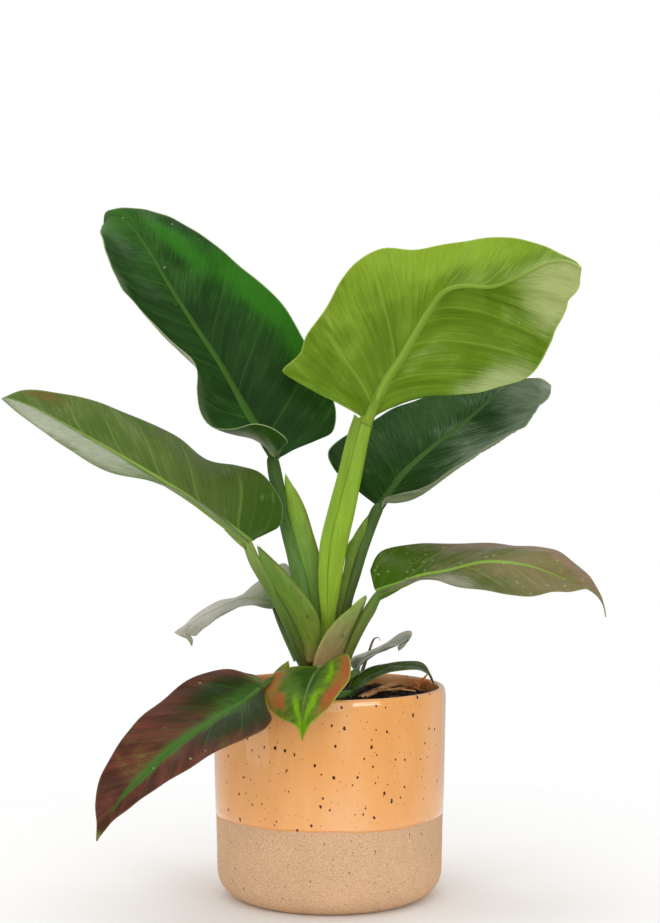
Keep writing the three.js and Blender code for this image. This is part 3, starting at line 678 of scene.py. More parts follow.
def blade_mesh(name, leaf, material):
    """A thin closed sheet between the margins, with midrib, laterals and ripples, and fields for its skin.

    side runs from -1 on the left margin over 0 on the midrib to 1 on the right one, along from joint to tip.
    """
    midrib = smooth_path([leaf["joint"], *leaf["midrib"], leaf["tip"]])
    along = np.linspace(0, 1, BLADE_ROWS) ** ROW_SPREAD * LAST_ROW
    eased = along - ROW_EASING * np.sin(2 * np.pi * along) / (2 * np.pi)
    foot = eased**VEIN_CROWDING
    start = midrib(foot)[:, None]
    behind, beyond = np.maximum(0, foot - MIDRIB_CHORD), np.minimum(1, foot + MIDRIB_CHORD)
    ahead = unit(midrib(beyond) - midrib(behind))[:, None]
    rib_half = leaf["rib"][1] + (leaf["rib"][0] - leaf["rib"][1]) * (1 - foot) ** 1.3
    halves = []
    for hand, sign in (("left", -1), ("right", 1)):
        margin = smooth_path([leaf["joint"], *leaf[hand], leaf["tip"]])
        reach = margin(SINUS_START + (1 - SINUS_START) * eased)[:, None] - start
        width = np.linalg.norm(reach, axis=-1)
        band = np.minimum(rib_half[:, None], 0.25 * width) / np.maximum(width, 1e-6) * np.array(RIB_BAND)
        lamina = np.linspace(band[:, -1], MARGIN_BAND[0], LAMINA_COLUMNS + 1, axis=1)[:, 1:-1]
        edge = np.broadcast_to(MARGIN_BAND, (BLADE_ROWS, len(MARGIN_BAND)))
        out = np.hstack([band, lamina, edge])
        upward = sign * unit(np.cross(reach, ahead))
        rise = leaf["bulge"][hand] * width * np.sin(np.pi * out)
        place = start + reach * out[..., None] + upward * rise[..., None]
        halves.append((place, sign * out, out * width, (1 - out) * width))
    (left, *left_fields), (right, *right_fields) = halves
    surface = np.concatenate([left[:, :0:-1], right], axis=1)
    side, from_rib, from_edge = [
        np.concatenate([a[:, :0:-1], b], axis=1) for a, b in zip(left_fields, right_fields)
    ]
    across = np.gradient(surface, axis=1)
    across[:, 1:-1] = surface[:, 2:] - surface[:, :-2]
    upward = unit(np.cross(across, np.gradient(surface, axis=0)))
    out = np.abs(side)
    branching = leaf["branching"] * (1 - np.exp(-1.2 * from_rib / leaf["branching"]))
    run = foot[:, None] * midrib.length - branching
    run = run - np.where(side < 0, leaf["lean"][0], leaf["lean"][1]) * from_rib
    lateral = run + np.where(side < 0, 0, 0.5) * leaf["spacing"] + FIRST_LATERAL
    ripple = np.where(side < 0, leaf["ripple"][0], leaf["ripple"][1])
    away = smoothstep(from_rib, 1.5, 12) * smoothstep(from_edge, 0, 9)
    from_lateral = np.abs((lateral / leaf["spacing"] + 0.5) % 1 - 0.5) * leaf["spacing"]
    crease = CREASE_DEPTH * np.exp(-((from_lateral / CREASE_WIDTH) ** 2))
    quilt = (-ripple * np.cos(2 * np.pi * lateral / leaf["spacing"]) - crease) * away
    quilt += 0.25 * ripple * np.sin(2 * np.pi * (run * 2.6 / leaf["spacing"] + 1.7 * side)) * away
    ends = smoothstep(np.minimum(along, 1 - along), 0.0, 0.12)[:, None]
    wave = np.sin(2 * np.pi * run / EDGE_WAVE_LENGTH + 2 * np.sign(side)) + 0.5 * np.sin(run / EDGE_FLUTTER)
    surface = surface + upward * (quilt * ends + leaf["wave"] * wave * out**5 * ends)[..., None]
    rib_share = from_rib / np.maximum(rib_half[:, None], 0.2)
    swell = np.cos(0.5 * np.pi * np.clip(rib_share / 1.25, 0, 1)) ** 2
    thickness = MARGIN_THICKNESS + (BLADE_THICKNESS - MARGIN_THICKNESS) * smoothstep(from_edge, 0, 2.5)
    top = surface + upward * (0.5 * thickness - 0.2 * rib_half[:, None] * swell)[..., None]
    keel = leaf["keel"] * rib_half[:, None] * swell
    under = surface - upward * (0.5 * thickness + keel)[..., None]
    rows, columns = side.shape
    count = rows * columns
    points = np.concatenate([top.reshape(-1, 3), under.reshape(-1, 3)])
    faces = grid_faces(rows, columns) + [quad[::-1] for quad in grid_faces(rows, columns, start=count)]
    ring = [
        *range(columns), *range(2 * columns - 1, count, columns), *range(count - 2, count - columns - 1, -1),
        *range(count - 2 * columns, 0, -columns),
    ]
    faces += [[a, a + count, b + count, b] for a, b in zip(ring, ring[1:] + ring[:1])]
    fields = {
        "blade_place": np.stack([side, along[:, None] + 0 * side, run], -1),
        "blade_mark": np.stack([rib_share, lateral, from_edge], -1),
    }
    fields = {field: np.tile(value.reshape(-1, 3), (2, 1)) for field, value in fields.items()}
    # Masks for the leaf's own tints and for its painted sheens and reflections
    for number, (_, spots, *tinted) in enumerate(leaf["washes"]):
        mask = washed(spots, side, along[:, None]).ravel()
        fields[f"wash_{number}"] = np.concatenate([mask * tint for tint in (*tinted, leaf["tinted"])[0]])
    fields["underside"] = np.repeat([0.0, 1.0], count)
    return mesh_object(name, points, faces, [material], fields)


def washed(spots, side, along):
    """How strongly a tint or a painted sheen lies at each point, from soft spots of (along, side, reach
    along, reach across).
    """
    mask = 0 * side * along
    for at, beside, reach, width in spots:
        mask = mask + np.exp(-(((along - at) / reach) ** 2) - ((side - beside) / width) ** 2)
    return np.clip(mask, 0, 1)


def leaf_skin(name, leaf):
    """Living leaf: a waxy satin skin over soft green, streaked along its laterals, paler on its underside,
    with tints of its own and painted sheen washed over it.
    """
    material, tree, shader = new_material(name, IOR=1.45, Specular_IOR_Level=leaf["gloss"])
    place = object_place(tree)
    at, mark = [
        add(tree, "ShaderNodeAttribute", attribute_name=field) for field in ("blade_place", "blade_mark")
    ]
    side, along, run = add(tree, "ShaderNodeSeparateXYZ", {0: at.outputs["Vector"]}).outputs
    rib, lateral, from_edge = add(tree, "ShaderNodeSeparateXYZ", {0: mark.outputs["Vector"]}).outputs
    below = add(tree, "ShaderNodeAttribute", attribute_name="underside").outputs["Fac"]
    # Broad mottling, and streaks about 1.3 mm apart that follow the fine parallel veins
    mottle = add(tree, "ShaderNodeTexNoise", {"Vector": place, "Scale": 1 / (leaf["mottle"] * MM),
                                              "Detail": 3.0, "Distortion": 0.6})
    aside = add(tree, "ShaderNodeMath", {0: side, 1: 5.0}, operation="MULTIPLY")
    lanes = add(tree, "ShaderNodeCombineXYZ", {"X": run, "Y": aside})
    streak = add(tree, "ShaderNodeTexNoise",
                 {"Vector": lanes, "Scale": 0.75, "Detail": 3.0, "Roughness": 0.6})
    broad = add(tree, "ShaderNodeTexNoise", {"Vector": lanes, "Scale": 0.16, "Detail": 2.0})
    blend = add(tree, "ShaderNodeMix", {"Factor": 0.5, "A": mottle, "B": broad})
    tone = add(tree, "ShaderNodeMapRange", {"Value": blend, "From Min": 0.36, "From Max": 0.64},
               interpolation_type="SMOOTHSTEP")
    upper, lower = [
        add(tree, "ShaderNodeMix", {"Factor": tone, "A": dim, "B": bright}, data_type="RGBA")
        for dim, bright in (leaf["upper"], leaf["under"])
    ]
    colour = add(tree, "ShaderNodeMix", {"Factor": below, "A": upper, "B": lower}, data_type="RGBA")
    ragged = add(tree, "ShaderNodeMapRange", {"Value": streak, "From Min": 0.3, "From Max": 0.7,
                                              "To Min": -0.12, "To Max": 0.12})
    # Tints of the leaf's own, and painted sheen and reflection of the bright surround, each laid on where its
    # spots lie
    for number, (tint, *_) in enumerate(leaf["washes"]):
        share = add(tree, "ShaderNodeAttribute", attribute_name=f"wash_{number}").outputs["Fac"]
        uneven = add(tree, "ShaderNodeMath", {0: mottle, 1: 0.9, 2: ragged}, operation="MULTIPLY_ADD")
        shifted = add(tree, "ShaderNodeMath", {0: share, 1: uneven})
        amount = add(tree, "ShaderNodeMapRange", {"Value": shifted, "From Min": 0.5, "From Max": 1.35},
                     interpolation_type="SMOOTHSTEP")
        colour = add(tree, "ShaderNodeMix", {"Factor": amount, "A": colour, "B": tint}, data_type="RGBA")
    streaked = add(tree, "ShaderNodeMapRange", {"Value": streak, "From Min": 0.25, "From Max": 0.75,
                                                "To Min": 1 - leaf["streaks"], "To Max": 1 + leaf["streaks"]})
    colour = add(tree, "ShaderNodeVectorMath", {0: colour, "Scale": streaked}, operation="SCALE")
    # Laterals are lines 0.5 mm wide with a soft shoulder, fading out before the margin
    apart = add(tree, "ShaderNodeMath", {0: lateral, 1: leaf["spacing"] / 2}, operation="PINGPONG")
    minor = add(tree, "ShaderNodeMath", {0: lateral, 1: leaf["spacing"] / 8}, operation="PINGPONG")
    line = add(tree, "ShaderNodeMapRange", {"Value": apart, "From Min": 0.25, "From Max": 1.1,
                                            "To Min": 1.0, "To Max": 0.0})
    thin = add(tree, "ShaderNodeMapRange", {"Value": minor, "From Min": 0.1, "From Max": 0.5,
                                            "To Min": 0.25, "To Max": 0.0})
    either = add(tree, "ShaderNodeMath", {0: line, 1: thin}, operation="MAXIMUM")
    inward = add(tree, "ShaderNodeMapRange", {"Value": from_edge, "From Min": 3.0, "From Max": 16.0,
                                              "To Min": 0.0, "To Max": leaf["vein_strength"]})
    veined = add(tree, "ShaderNodeMath", {0: either, 1: inward}, operation="MULTIPLY")
    above, beneath = leaf["rib_colour"]
    rib_colour = add(tree, "ShaderNodeMix", {"Factor": below, "A": above, "B": beneath}, data_type="RGBA")
    band = add(tree, "ShaderNodeMapRange", {"Value": rib, "From Min": 0.75, "From Max": 1.2,
                                            "To Min": 1.0, "To Max": 0.0}, interpolation_type="SMOOTHSTEP")
    fade = add(tree, "ShaderNodeMapRange", {"Value": along, "From Min": 0.55, "From Max": 1.0,
                                            "To Min": 1.0, "To Max": 0.35})
    ribbed = add(tree, "ShaderNodeMath", {0: band, 1: fade}, operation="MULTIPLY")
    rim = add(tree, "ShaderNodeMapRange", {"Value": from_edge, "From Min": 0.25, "From Max": 0.9,
                                           "To Min": 0.85, "To Max": 0.0})
    for share, tint in ((veined, rib_colour), (ribbed, rib_colour), (rim, leaf["rim_colour"])):
        colour = add(tree, "ShaderNodeMix", {"Factor": share, "A": colour, "B": tint}, data_type="RGBA")
    above, beneath = leaf["roughness"]
    dull = add(tree, "ShaderNodeMix", {"Factor": below, "A": above, "B": beneath})
    rough = add(tree, "ShaderNodeMath", {0: mottle, 1: 0.1, 2: dull}, operation="MULTIPLY_ADD")
    grain = add(tree, "ShaderNodeTexNoise", {"Vector": place, "Scale": 1 / (0.7 * MM), "Detail": 1.0})
    relief = add(tree, "ShaderNodeMath", {0: grain, 1: 0.35, 2: streak}, operation="MULTIPLY_ADD")
    raised = add(tree, "ShaderNodeMath", {0: veined, 1: 0.8, 2: relief}, operation="MULTIPLY_ADD")
    bump = add(tree, "ShaderNodeBump", {"Height": raised, "Strength": 0.45, "Distance": 0.3 * MM})
    feed(tree, shader, {"Base Color": colour, "Roughness": rough, "Normal": bump})
    return material


def stalk_parts(leaf):
    """Closed shells of a stalk: its core, its end running on under the blade, and its sheath wings."""
    shells = []
    midrib = smooth_path([leaf["joint"], *leaf["midrib"], leaf["tip"]])
    rows = [list(row) for row in leaf["stalk"]]
    beneath = unit(blade_underside(leaf))
    for share, narrow in STALK_END:
        half = leaf["rib"][0] * narrow
        x, y, z = midrib(share) + beneath * half * 0.5
        rows.insert(0, [x, y, z, 2 * half, 1.5 * half])
    line = smooth_path(rows)
    share = np.linspace(0, 1, STALK_RINGS)
    joint = share[np.argmin(np.linalg.norm(line(share)[:, :3] - np.array(leaf["joint"]), axis=1))]
    share = np.sort(np.concatenate([share, joint + np.linspace(-1.6, 1.6, 9) / line.length]))
    centre, half = line(share)[:, :3], line(share)[:, 3:] / 2
    half = half + leaf["ring"] * np.exp(-(((share - joint) * line.length / RING_HALF_WIDTH) ** 2))[:, None]
    ahead = unit(np.gradient(centre, axis=0))
    front = np.array(leaf.get("facing", (0, -1, 0)), float)
    flat = unit(front - ahead * (ahead @ front)[:, None])
    across = np.cross(ahead, flat)
    turn = np.linspace(0, 2 * np.pi, STALK_SIDES, endpoint=False)
    flute = 1 + FLUTE_DEPTH * np.cos(STALK_FLUTES * turn)
    ring = (across[:, None] * (half[:, :1] * np.cos(turn) * flute)[..., None]
            + flat[:, None] * (half[:, 1:] * np.sin(turn) * flute)[..., None])
    tube = centre[:, None] + ring
    tube = np.concatenate([centre[:1, None] + 0 * tube[:1], tube, centre[-1:, None] + 0 * tube[:1]])
    share = np.concatenate([share[:1], share, share[-1:]])
    shells.append((tube, share, (share - joint) * line.length))
    for root, margin in leaf["wings"]:
        shells.append((wing_sheet(smooth_path(root), smooth_path(margin), front), None, None))
    return shells


def blade_underside(leaf):
    """The direction under the blade where it joins its stalk."""
    ahead = np.subtract(leaf["midrib"][0], leaf["joint"])
    across = np.subtract(leaf["right"][1], leaf["left"][1])
    return -np.cross(across, ahead)


def wing_sheet(root, margin, front):
    """A thin sheet between the wing's root on the stalk and its free margin, bowed out and thin-edged."""
    along = np.linspace(0, 1, WING_ROWS)
    out = np.linspace(0, 1, WING_COLUMNS)
    a, b = root(along)[:, None], margin(along)[:, None]
    reach = b - a
    ahead = unit(np.gradient(root(along), axis=0))[:, None]
    normal = unit(np.cross(reach, ahead))
    normal *= np.where((normal @ front) < 0, -1, 1)[..., None]
    width = np.linalg.norm(reach, axis=-1, keepdims=True)
    curl = WING_CURL * width * np.sin(np.pi * out)[None, :, None]
    sheet = a + reach * out[None, :, None] + normal * curl
    thick = WING_ROOT_THICKNESS + (WING_EDGE_THICKNESS - WING_ROOT_THICKNESS) * out[None, :, None] ** 0.7
    thick = thick * np.minimum(1, 0.25 + 0.2 * width)
    return np.concatenate([sheet + normal * thick / 2, (sheet - normal * thick / 2)[:, ::-1]], axis=1)


def stalk_mesh(name, leaf, material):
    """The stalk as one piece; its fields say how far down, from the joint and out on a wing a point lies."""
    points, faces, down, wing, from_joint = [], [], [], [], []
    for shell, share, gap in stalk_parts(leaf):
        rows, columns = shell.shape[:2]
        start = sum(len(p) for p in points)
        points.append(shell.reshape(-1, 3))
        faces += grid_faces(rows, columns, wrap=True, start=start)
        if share is not None:
            down.append(np.repeat(share, columns))
            from_joint.append(np.repeat(gap, columns))
            wing.append(np.zeros(rows * columns))
            continue
        last = start + (rows - 1) * columns
        faces += [[*range(start, start + columns)], [*range(last, last + columns)][::-1]]
        near = np.abs(np.linspace(0, 2, columns) - 1)
        down.append(np.repeat(np.linspace(0.25, 1, rows), columns))
        from_joint.append(np.full(rows * columns, 99.0))
        wing.append(np.tile(0.4 + 0.6 * (1 - near), rows))
    fields = {"down_stalk": down, "from_joint": from_joint, "wing": wing}
    fields = {field: np.concatenate(values) for field, values in fields.items()}
    return mesh_object(name, np.concatenate(points), faces, [material], fields)


def stalk_skin(name, leaf):
    """Fleshy leaf stalk: satin green with fine darker lines along it, its wings thin and pale-edged."""
    material, tree, shader = new_material(name, IOR=1.45, Roughness=0.38, Specular_IOR_Level=0.22)
    place = object_place(tree)
    down, wing, from_joint = [
        add(tree, "ShaderNodeAttribute", attribute_name=field).outputs["Fac"]
        for field in ("down_stalk", "wing", "from_joint")
    ]
    base = add(tree, "ShaderNodeValToRGB", {"Fac": down}, ramp=leaf["stalk_colours"])
    skin = add(tree, "ShaderNodeValToRGB", {"Fac": down}, ramp=leaf["sheath_colours"])
    sheath = add(tree, "ShaderNodeMapRange", {"Value": wing, "From Min": 0.1, "From Max": 0.6})
    edge = add(tree, "ShaderNodeMapRange", {"Value": wing, "From Min": 0.88, "From Max": 1.0, "To Max": 0.7})
    colour = base
    for share, tint in ((sheath, skin), (edge, leaf["sheath_edge"])):
        colour = add(tree, "ShaderNodeMix", {"Factor": share, "A": colour, "B": tint}, data_type="RGBA")
    top, foot = leaf["stalk"][0], leaf["stalk"][-1]
    lean = math.atan2(top[0] - foot[0], top[2] - foot[2])
    drawn = add(tree, "ShaderNodeMapping", {"Vector": place, "Scale": (1, 1, 14), "Rotation": (0, lean, 0)},
                vector_type="TEXTURE")
    lines = add(tree, "ShaderNodeTexNoise", {"Vector": drawn, "Scale": 1 / (1.6 * MM), "Detail": 3.0})
    shade = add(tree, "ShaderNodeMapRange", {"Value": lines, "From Min": 0.3, "From Max": 0.7,
                                             "To Min": 1 - leaf["grain"], "To Max": 1 + leaf["grain"]})
    colour = add(tree, "ShaderNodeVectorMath", {0: colour, "Scale": shade}, operation="SCALE")
    spots = add(tree, "ShaderNodeTexVoronoi", {"Vector": place, "Scale": 1 / (7 * MM)})
    spot = add(tree, "ShaderNodeMapRange", {"Value": spots, "From Min": 0.12, "From Max": 0.2,
                                            "To Min": leaf["spots"], "To Max": 0.0})
    gap = add(tree, "ShaderNodeMath", {0: from_joint}, operation="ABSOLUTE")
    ring = add(tree, "ShaderNodeMapRange", {"Value": gap, "From Min": 0.35, "From Max": 0.9,
                                            "To Min": leaf["ring"] * 1.6, "To Max": 0.0})
    for share, tint in ((spot, "#3f3520"), (ring, "#7a5a2c")):
        colour = add(tree, "ShaderNodeMix", {"Factor": share, "A": colour, "B": tint}, data_type="RGBA")
    bump = add(tree, "ShaderNodeBump", {"Height": lines, "Strength": 0.35, "Distance": 0.4 * MM})
    feed(tree, shader, {"Base Color": colour, "Normal": bump})
    return material


def clear_water():
    """Beads of clear water: smooth, half see-through, lighter than the leaf by a pale painted colour that
    stands for the light they gather.
    """
    material, tree, shader = new_material("water_bead", IOR=1.33, Roughness=0.04, Alpha=0.32)
    ripple = add(tree, "ShaderNodeTexNoise", {"Vector": object_place(tree), "Scale": 1 / (3 * MM)})
    # Painted light: the pale whitish green stands in for the light the clear beads gather and reflect
    tint = add(tree, "ShaderNodeMix", {"Factor": ripple, "A": "#a9ba7c", "B": "#d2deb0"}, data_type="RGBA")
    feed(tree, shader, {"Base Color": tint})
    return material


def dew_tree():
    """Sets flattened beads of water, small ones most of all, on one side of a blade."""
    tree, given = new_tree("beads_of_dew", Per_square_metre="Float", Below="Float", Most="Float", Seed="Int",
                           Material="Material")
    under = add(tree, "GeometryNodeInputNamedAttribute", {"Name": "underside"})
    same = add(tree, "FunctionNodeCompare", {0: under, 1: given["Below"]}, operation="EQUAL")
    mark = add(tree, "GeometryNodeInputNamedAttribute", {"Name": "blade_mark"}, data_type="FLOAT_VECTOR")
    from_edge = add(tree, "ShaderNodeSeparateXYZ", {0: mark}).outputs["Z"]
    inward = add(tree, "FunctionNodeCompare", {0: from_edge, 1: 1.5}, operation="GREATER_THAN")
    chosen = add(tree, "FunctionNodeBooleanMath", {0: same, 1: inward}, operation="AND")
    points = add(tree, "GeometryNodeDistributePointsOnFaces", {
        "Mesh": given["Geometry"], "Selection": chosen, "Distance Min": BEAD_SPACING * MM,
        "Density Max": given["Per square metre"], "Seed": given["Seed"],
    }, distribute_method="POISSON")
    bead = add(tree, "GeometryNodeMeshIcoSphere", {"Radius": 1.0, "Subdivisions": 2})
    chance = add(tree, "FunctionNodeRandomValue", {2: 0.3, 3: 1.0, "Seed": 3})
    share = add(tree, "ShaderNodeMath", {0: chance, 1: 2.0}, operation="POWER")
    size = add(tree, "ShaderNodeMath", {0: share, 1: given["Most"]}, operation="MULTIPLY")
    flat = add(tree, "ShaderNodeVectorMath", {0: (1.0, 0.85, 0.5), "Scale": size}, operation="SCALE")
    beads = add(tree, "GeometryNodeInstanceOnPoints", {
        "Points": points, "Instance": bead, "Rotation": points.outputs["Rotation"], "Scale": flat,
    })
    real = add(tree, "GeometryNodeRealizeInstances", {0: beads})
    smooth = add(tree, "GeometryNodeSetShadeSmooth", {"Geometry": real})
    done = add(tree, "GeometryNodeSetMaterial", {"Geometry": smooth, "Material": given["Material"]})
    add(tree, "NodeGroupOutput", {0: done})
    return tree


water = clear_water()
dew = dew_tree()


def grow_leaf(name, leaf):
    """Makes the blade, its dew and the stalk of one leaf, each with its own skin, and settles them."""
    blade = blade_mesh(f"{name}_leaf", leaf, leaf_skin(f"{name}_leaf_skin", leaf))
    settle(blade, leaf["slots"][0], f"{name}_blade")
    if leaf["dew"]:
        density, below, seed = leaf["dew"]
        beads = grown(f"{name}_dew", twin(blade), dew, Per_square_metre=float(density), Below=float(below),
                      Most=LARGEST_BEAD * MM, Seed=seed, Material=water)
        settle(beads, leaf["slots"][0])
    stalk = stalk_mesh(f"{name}_stalk", leaf, stalk_skin(f"{name}_stalk_skin", leaf))
    settle(stalk, leaf["slots"][1], f"{name}_petiole")


# A leaf is drawn by points on its midrib and both margins, by rows of its stalk from the joint down as
# (x, y, z, width, depth), and by the root and the free margin of each sheath wing. A pair of values is
# for its left and right half, or for its top and underside. A wash is a tint of the leaf's own or a painted
# sheen or reflection, with its spots and its weights on the top and underside where they aren't the usual
# ones. Dew is the number of beads for each square metre, 1 where they hang on the underside or else 0, and a
# seed.
TYPICAL_LEAF = {
    "wings": [], "rib": (2.2, 0.45), "keel": 0.85, "spacing": 26, "branching": 5, "lean": (0.3, 0.3),
    "ripple": (0.25, 0.25), "wave": 0.5, "ring": 0, "gloss": 0.12, "roughness": (0.24, 0.38),
    "vein_strength": 0.35, "streaks": 0.13, "mottle": 32, "tinted": (1, 0.3), "grain": 0.15, "spots": 0,
    "dew": None, "washes": [], "sheath_edge": "#9bb04a",
}
UPPER_LEFT = {
    **TYPICAL_LEAF,
    "joint": (-32, 18, 260), "tip": (-149, 101, 415), "bulge": {"left": -0.13, "right": 0.05},
    "midrib": [
        (-47, 22, 283), (-57, 26, 300), (-69, 31, 321), (-85, 38, 345), (-102, 48, 372), (-116, 60, 395),
        (-130, 75, 413), (-142, 89, 419),
    ],
    "left": [
        (-29, 2, 266), (-25, -14, 271), (-33, -24, 278), (-44, -26, 281), (-57, -24, 278), (-69, -20, 279),
        (-76, -16, 287), (-79, -12, 300), (-81, -8, 318), (-99, -4, 335), (-117, 4, 353), (-133, 30, 374),
        (-143, 54, 397), (-148, 76, 407),
    ],
    "right": [
        (-20, 20, 267), (-7, 24, 272), (2, 28, 277), (4, 32, 289), (1, 34, 300), (-6, 36, 315),
        (-16, 40, 335), (-31, 46, 359), (-56, 55, 382), (-87, 66, 407), (-117, 77, 421), (-139, 87, 423),
        (-147, 96, 422),
    ],
    "stalk": [
        (-34.5, 18, 259, 7.5, 6), (-33, 17, 250.5, 8.5, 6.5), (-30.5, 15, 239.5, 8, 7),
        (-28, 13, 230, 7.5, 7.5), (-26, 11, 219, 8, 8), (-21, 8, 202, 9.5, 8), (-17.5, 6, 187.5, 10.5, 8),
        (-13, 5, 167.5, 9.5, 8), (-6.5, 3, 145, 8.5, 8),
    ],
    "wings": [
        ([(-27, 14, 251.5), (-27, 14, 243.5), (-26.5, 13, 235), (-26, 11, 226), (-22.5, 8.5, 208),
          (-19, 6.5, 193), (-14, 5, 175), (-9.5, 3, 157), (-7, 3, 144)],
         [(-27, 14, 251.5), (-22, 12, 243.5), (-18, 10.5, 235.5), (-14, 9, 226), (-9, 6.5, 211.5),
          (-6.5, 5, 202), (-5.5, 4, 190), (-4.5, 3, 175), (-3.5, 2, 157), (-2.5, 2, 144)]),
        ([(-26, 19, 248.5), (-26.5, 18, 240), (-26.5, 16, 230), (-25.5, 14, 217.5), (-21.5, 11, 199),
          (-15.5, 8, 174.5), (-9.5, 6, 144.5)],
         [(-26, 19, 248.5), (-20, 18, 240.5), (-14.5, 16.5, 229.5), (-10.5, 14, 217), (-6, 11, 202),
          (-4, 9, 190), (-2, 7, 169), (-1, 6, 144.5)]),
    ],
    "slots": ("leaf_dark", "petiole_green"), "rib": (2.9, 0.5), "spacing": 34, "ripple": (0.3, 0.3),
    "wave": 0.4, "gloss": 0.06, "vein_strength": 0.3, "streaks": 0.12, "dew": (500, 0, 5),
    # The underside's pale grey end is partly the leaf's own pale underside and partly painted sheen
    "upper": ("#1d3916", "#27481c"), "under": ("#7f8c66", "#bcc2aa"), "rib_colour": ("#446a28", "#8fa35e"),
    "rim_colour": "#a9b880",
    "washes": [
        ("#3b6826", [(1.0, 0, 0.24, 2.5)]),
        ("#2f6a1a", [(0.5, 0.86, 0.12, 0.19), (0.68, 0.62, 0.09, 0.17), (0.36, 1.0, 0.08, 0.15)]),
        # Painted sheen: a greyish reflection of the bright surround along the left margin
        ("#566b4a", [(0.58, -1.0, 0.12, 0.18), (0.36, -0.95, 0.1, 0.2)]),
        ("#33561c", [(0.06, -1.05, 0.22, 0.42), (0.0, -0.1, 0.05, 0.5)], (0, 2)),
    ],
    "stalk_colours": [
        (0.0, "#48592a"), (0.15, "#3d5722"), (0.4, "#47692a"), (0.6, "#5a8035"), (1.0, "#6a9038"),
    ],
    "sheath_colours": [(0.25, "#86a830"), (0.45, "#7d9f33"), (0.65, "#6f963a"), (1.0, "#66862a")],
    "sheath_edge": "#8c8838",
}
grow_leaf("upper_left", UPPER_LEFT)

# The upper right leaf
# The youngest full leaf, still lime and thin enough to glow, turned so that its underside faces the
# front. Its midrib stands out like a cord and a thin brown ring marks where the blade joins the stalk.
UPPER_RIGHT = {
    **TYPICAL_LEAF,
    "joint": (23, -2, 282), "tip": (135.4, -112, 362.5), "bulge": {"left": 0.05, "right": 0.05},
    "midrib": [
        (33, -10, 305), (42, -18, 319), (50, -27, 333), (58, -37, 346), (65, -48, 355), (75, -58, 358),
        (91, -74, 356), (104, -86, 360), (117, -97, 366), (127, -105, 367),
    ],
    "left": [
        (35, -5, 291), (46, -9, 294), (59, -16, 297), (76, -26, 298), (88, -34, 299), (99, -44, 302),
        (110, -56, 305), (117, -66, 311), (121, -76, 320), (125, -86, 331), (129, -95, 341),
        (130, -100, 346), (134, -106, 351),
    ],
    "right": [
        (12, 2, 291), (-7, 8, 300), (-26, 12, 311), (-28, 11, 315), (-18, 8, 324), (-14, 5, 335),
        (-2, 0, 351), (7, -5, 367), (17, -12, 378), (32, -16, 385), (52, -16, 384), (76, -30, 387),
        (96, -50, 387), (115, -74, 381), (128, -96, 371), (133, -106, 367),
    ],
    "stalk": [
        (21.5, -2, 281.5, 9.5, 8.5), (17.5, -2, 271.5, 12.5, 9), (13, -2, 250.5, 13.5, 9.4),
        (8, -2, 230, 15.5, 9.6), (3.5, -1.5, 210, 15.5, 10), (1.5, -1, 194.5, 14, 10),
        (0.5, 0, 180, 11.5, 10), (-0.5, 0, 167.5, 9, 9.5), (-2.5, 0, 142.5, 8.5, 9),
    ],
    "wings": [
        ([(19, -6, 283), (16, -6, 271.5), (11, -6.5, 252.5), (5.5, -6.5, 231.5), (1, -6, 211.5),
          (-1, -6, 196.5), (-1.5, -5, 181.5), (-1.5, -4, 166.5), (-2.5, -1, 152)],
         [(15, -5, 287), (10.5, -6, 274), (5.5, -6.5, 253.5), (-0.5, -6.5, 231.5), (-5.5, -6.5, 211),
          (-6.5, -6, 196.5), (-6.5, -5.5, 182), (-5, -5, 167), (-4, -1, 152)]),
    ],
    "slots": ("leaf_lime", "petiole_lime"), "rib": (3.5, 0.6), "keel": 0.9, "spacing": 29, "branching": 9,
    "lean": (0.5, 0.2), "ripple": (0.6, 0.6), "ring": 0.35, "roughness": (0.3, 0.34), "vein_strength": 0.5,
    "tinted": (0.6, 1), "grain": 0.12, "dew": (700, 1, 2),
    "upper": ("#5d8f1c", "#7fae2c"), "under": ("#5b7a12", "#6f8f20"), "rib_colour": ("#8fb440", "#86a63a"),
    "rim_colour": "#a5bd50",
    "washes": [
        ("#83a22a", [(0.6, 0.85, 0.25, 0.45)]),
        ("#a9b570", [(1.0, -0.3, 0.2, 1.0), (0.82, -0.85, 0.12, 0.4)]),
        ("#4c6c12", [(0.22, -0.9, 0.12, 0.3)]),
        ("#a8b878", [(0.47, -0.95, 0.1, 0.22)]),
    ],
    "stalk_colours": [(0.0, "#708c28"), (0.15, "#86a830"), (0.5, "#8db12d"), (1.0, "#87a62c")],
    "sheath_colours": [(0.25, "#748f2c"), (0.5, "#7fa32a"), (1.0, "#8eb12f")], "sheath_edge": "#a9bd55",
}
grow_leaf("upper_right", UPPER_RIGHT)
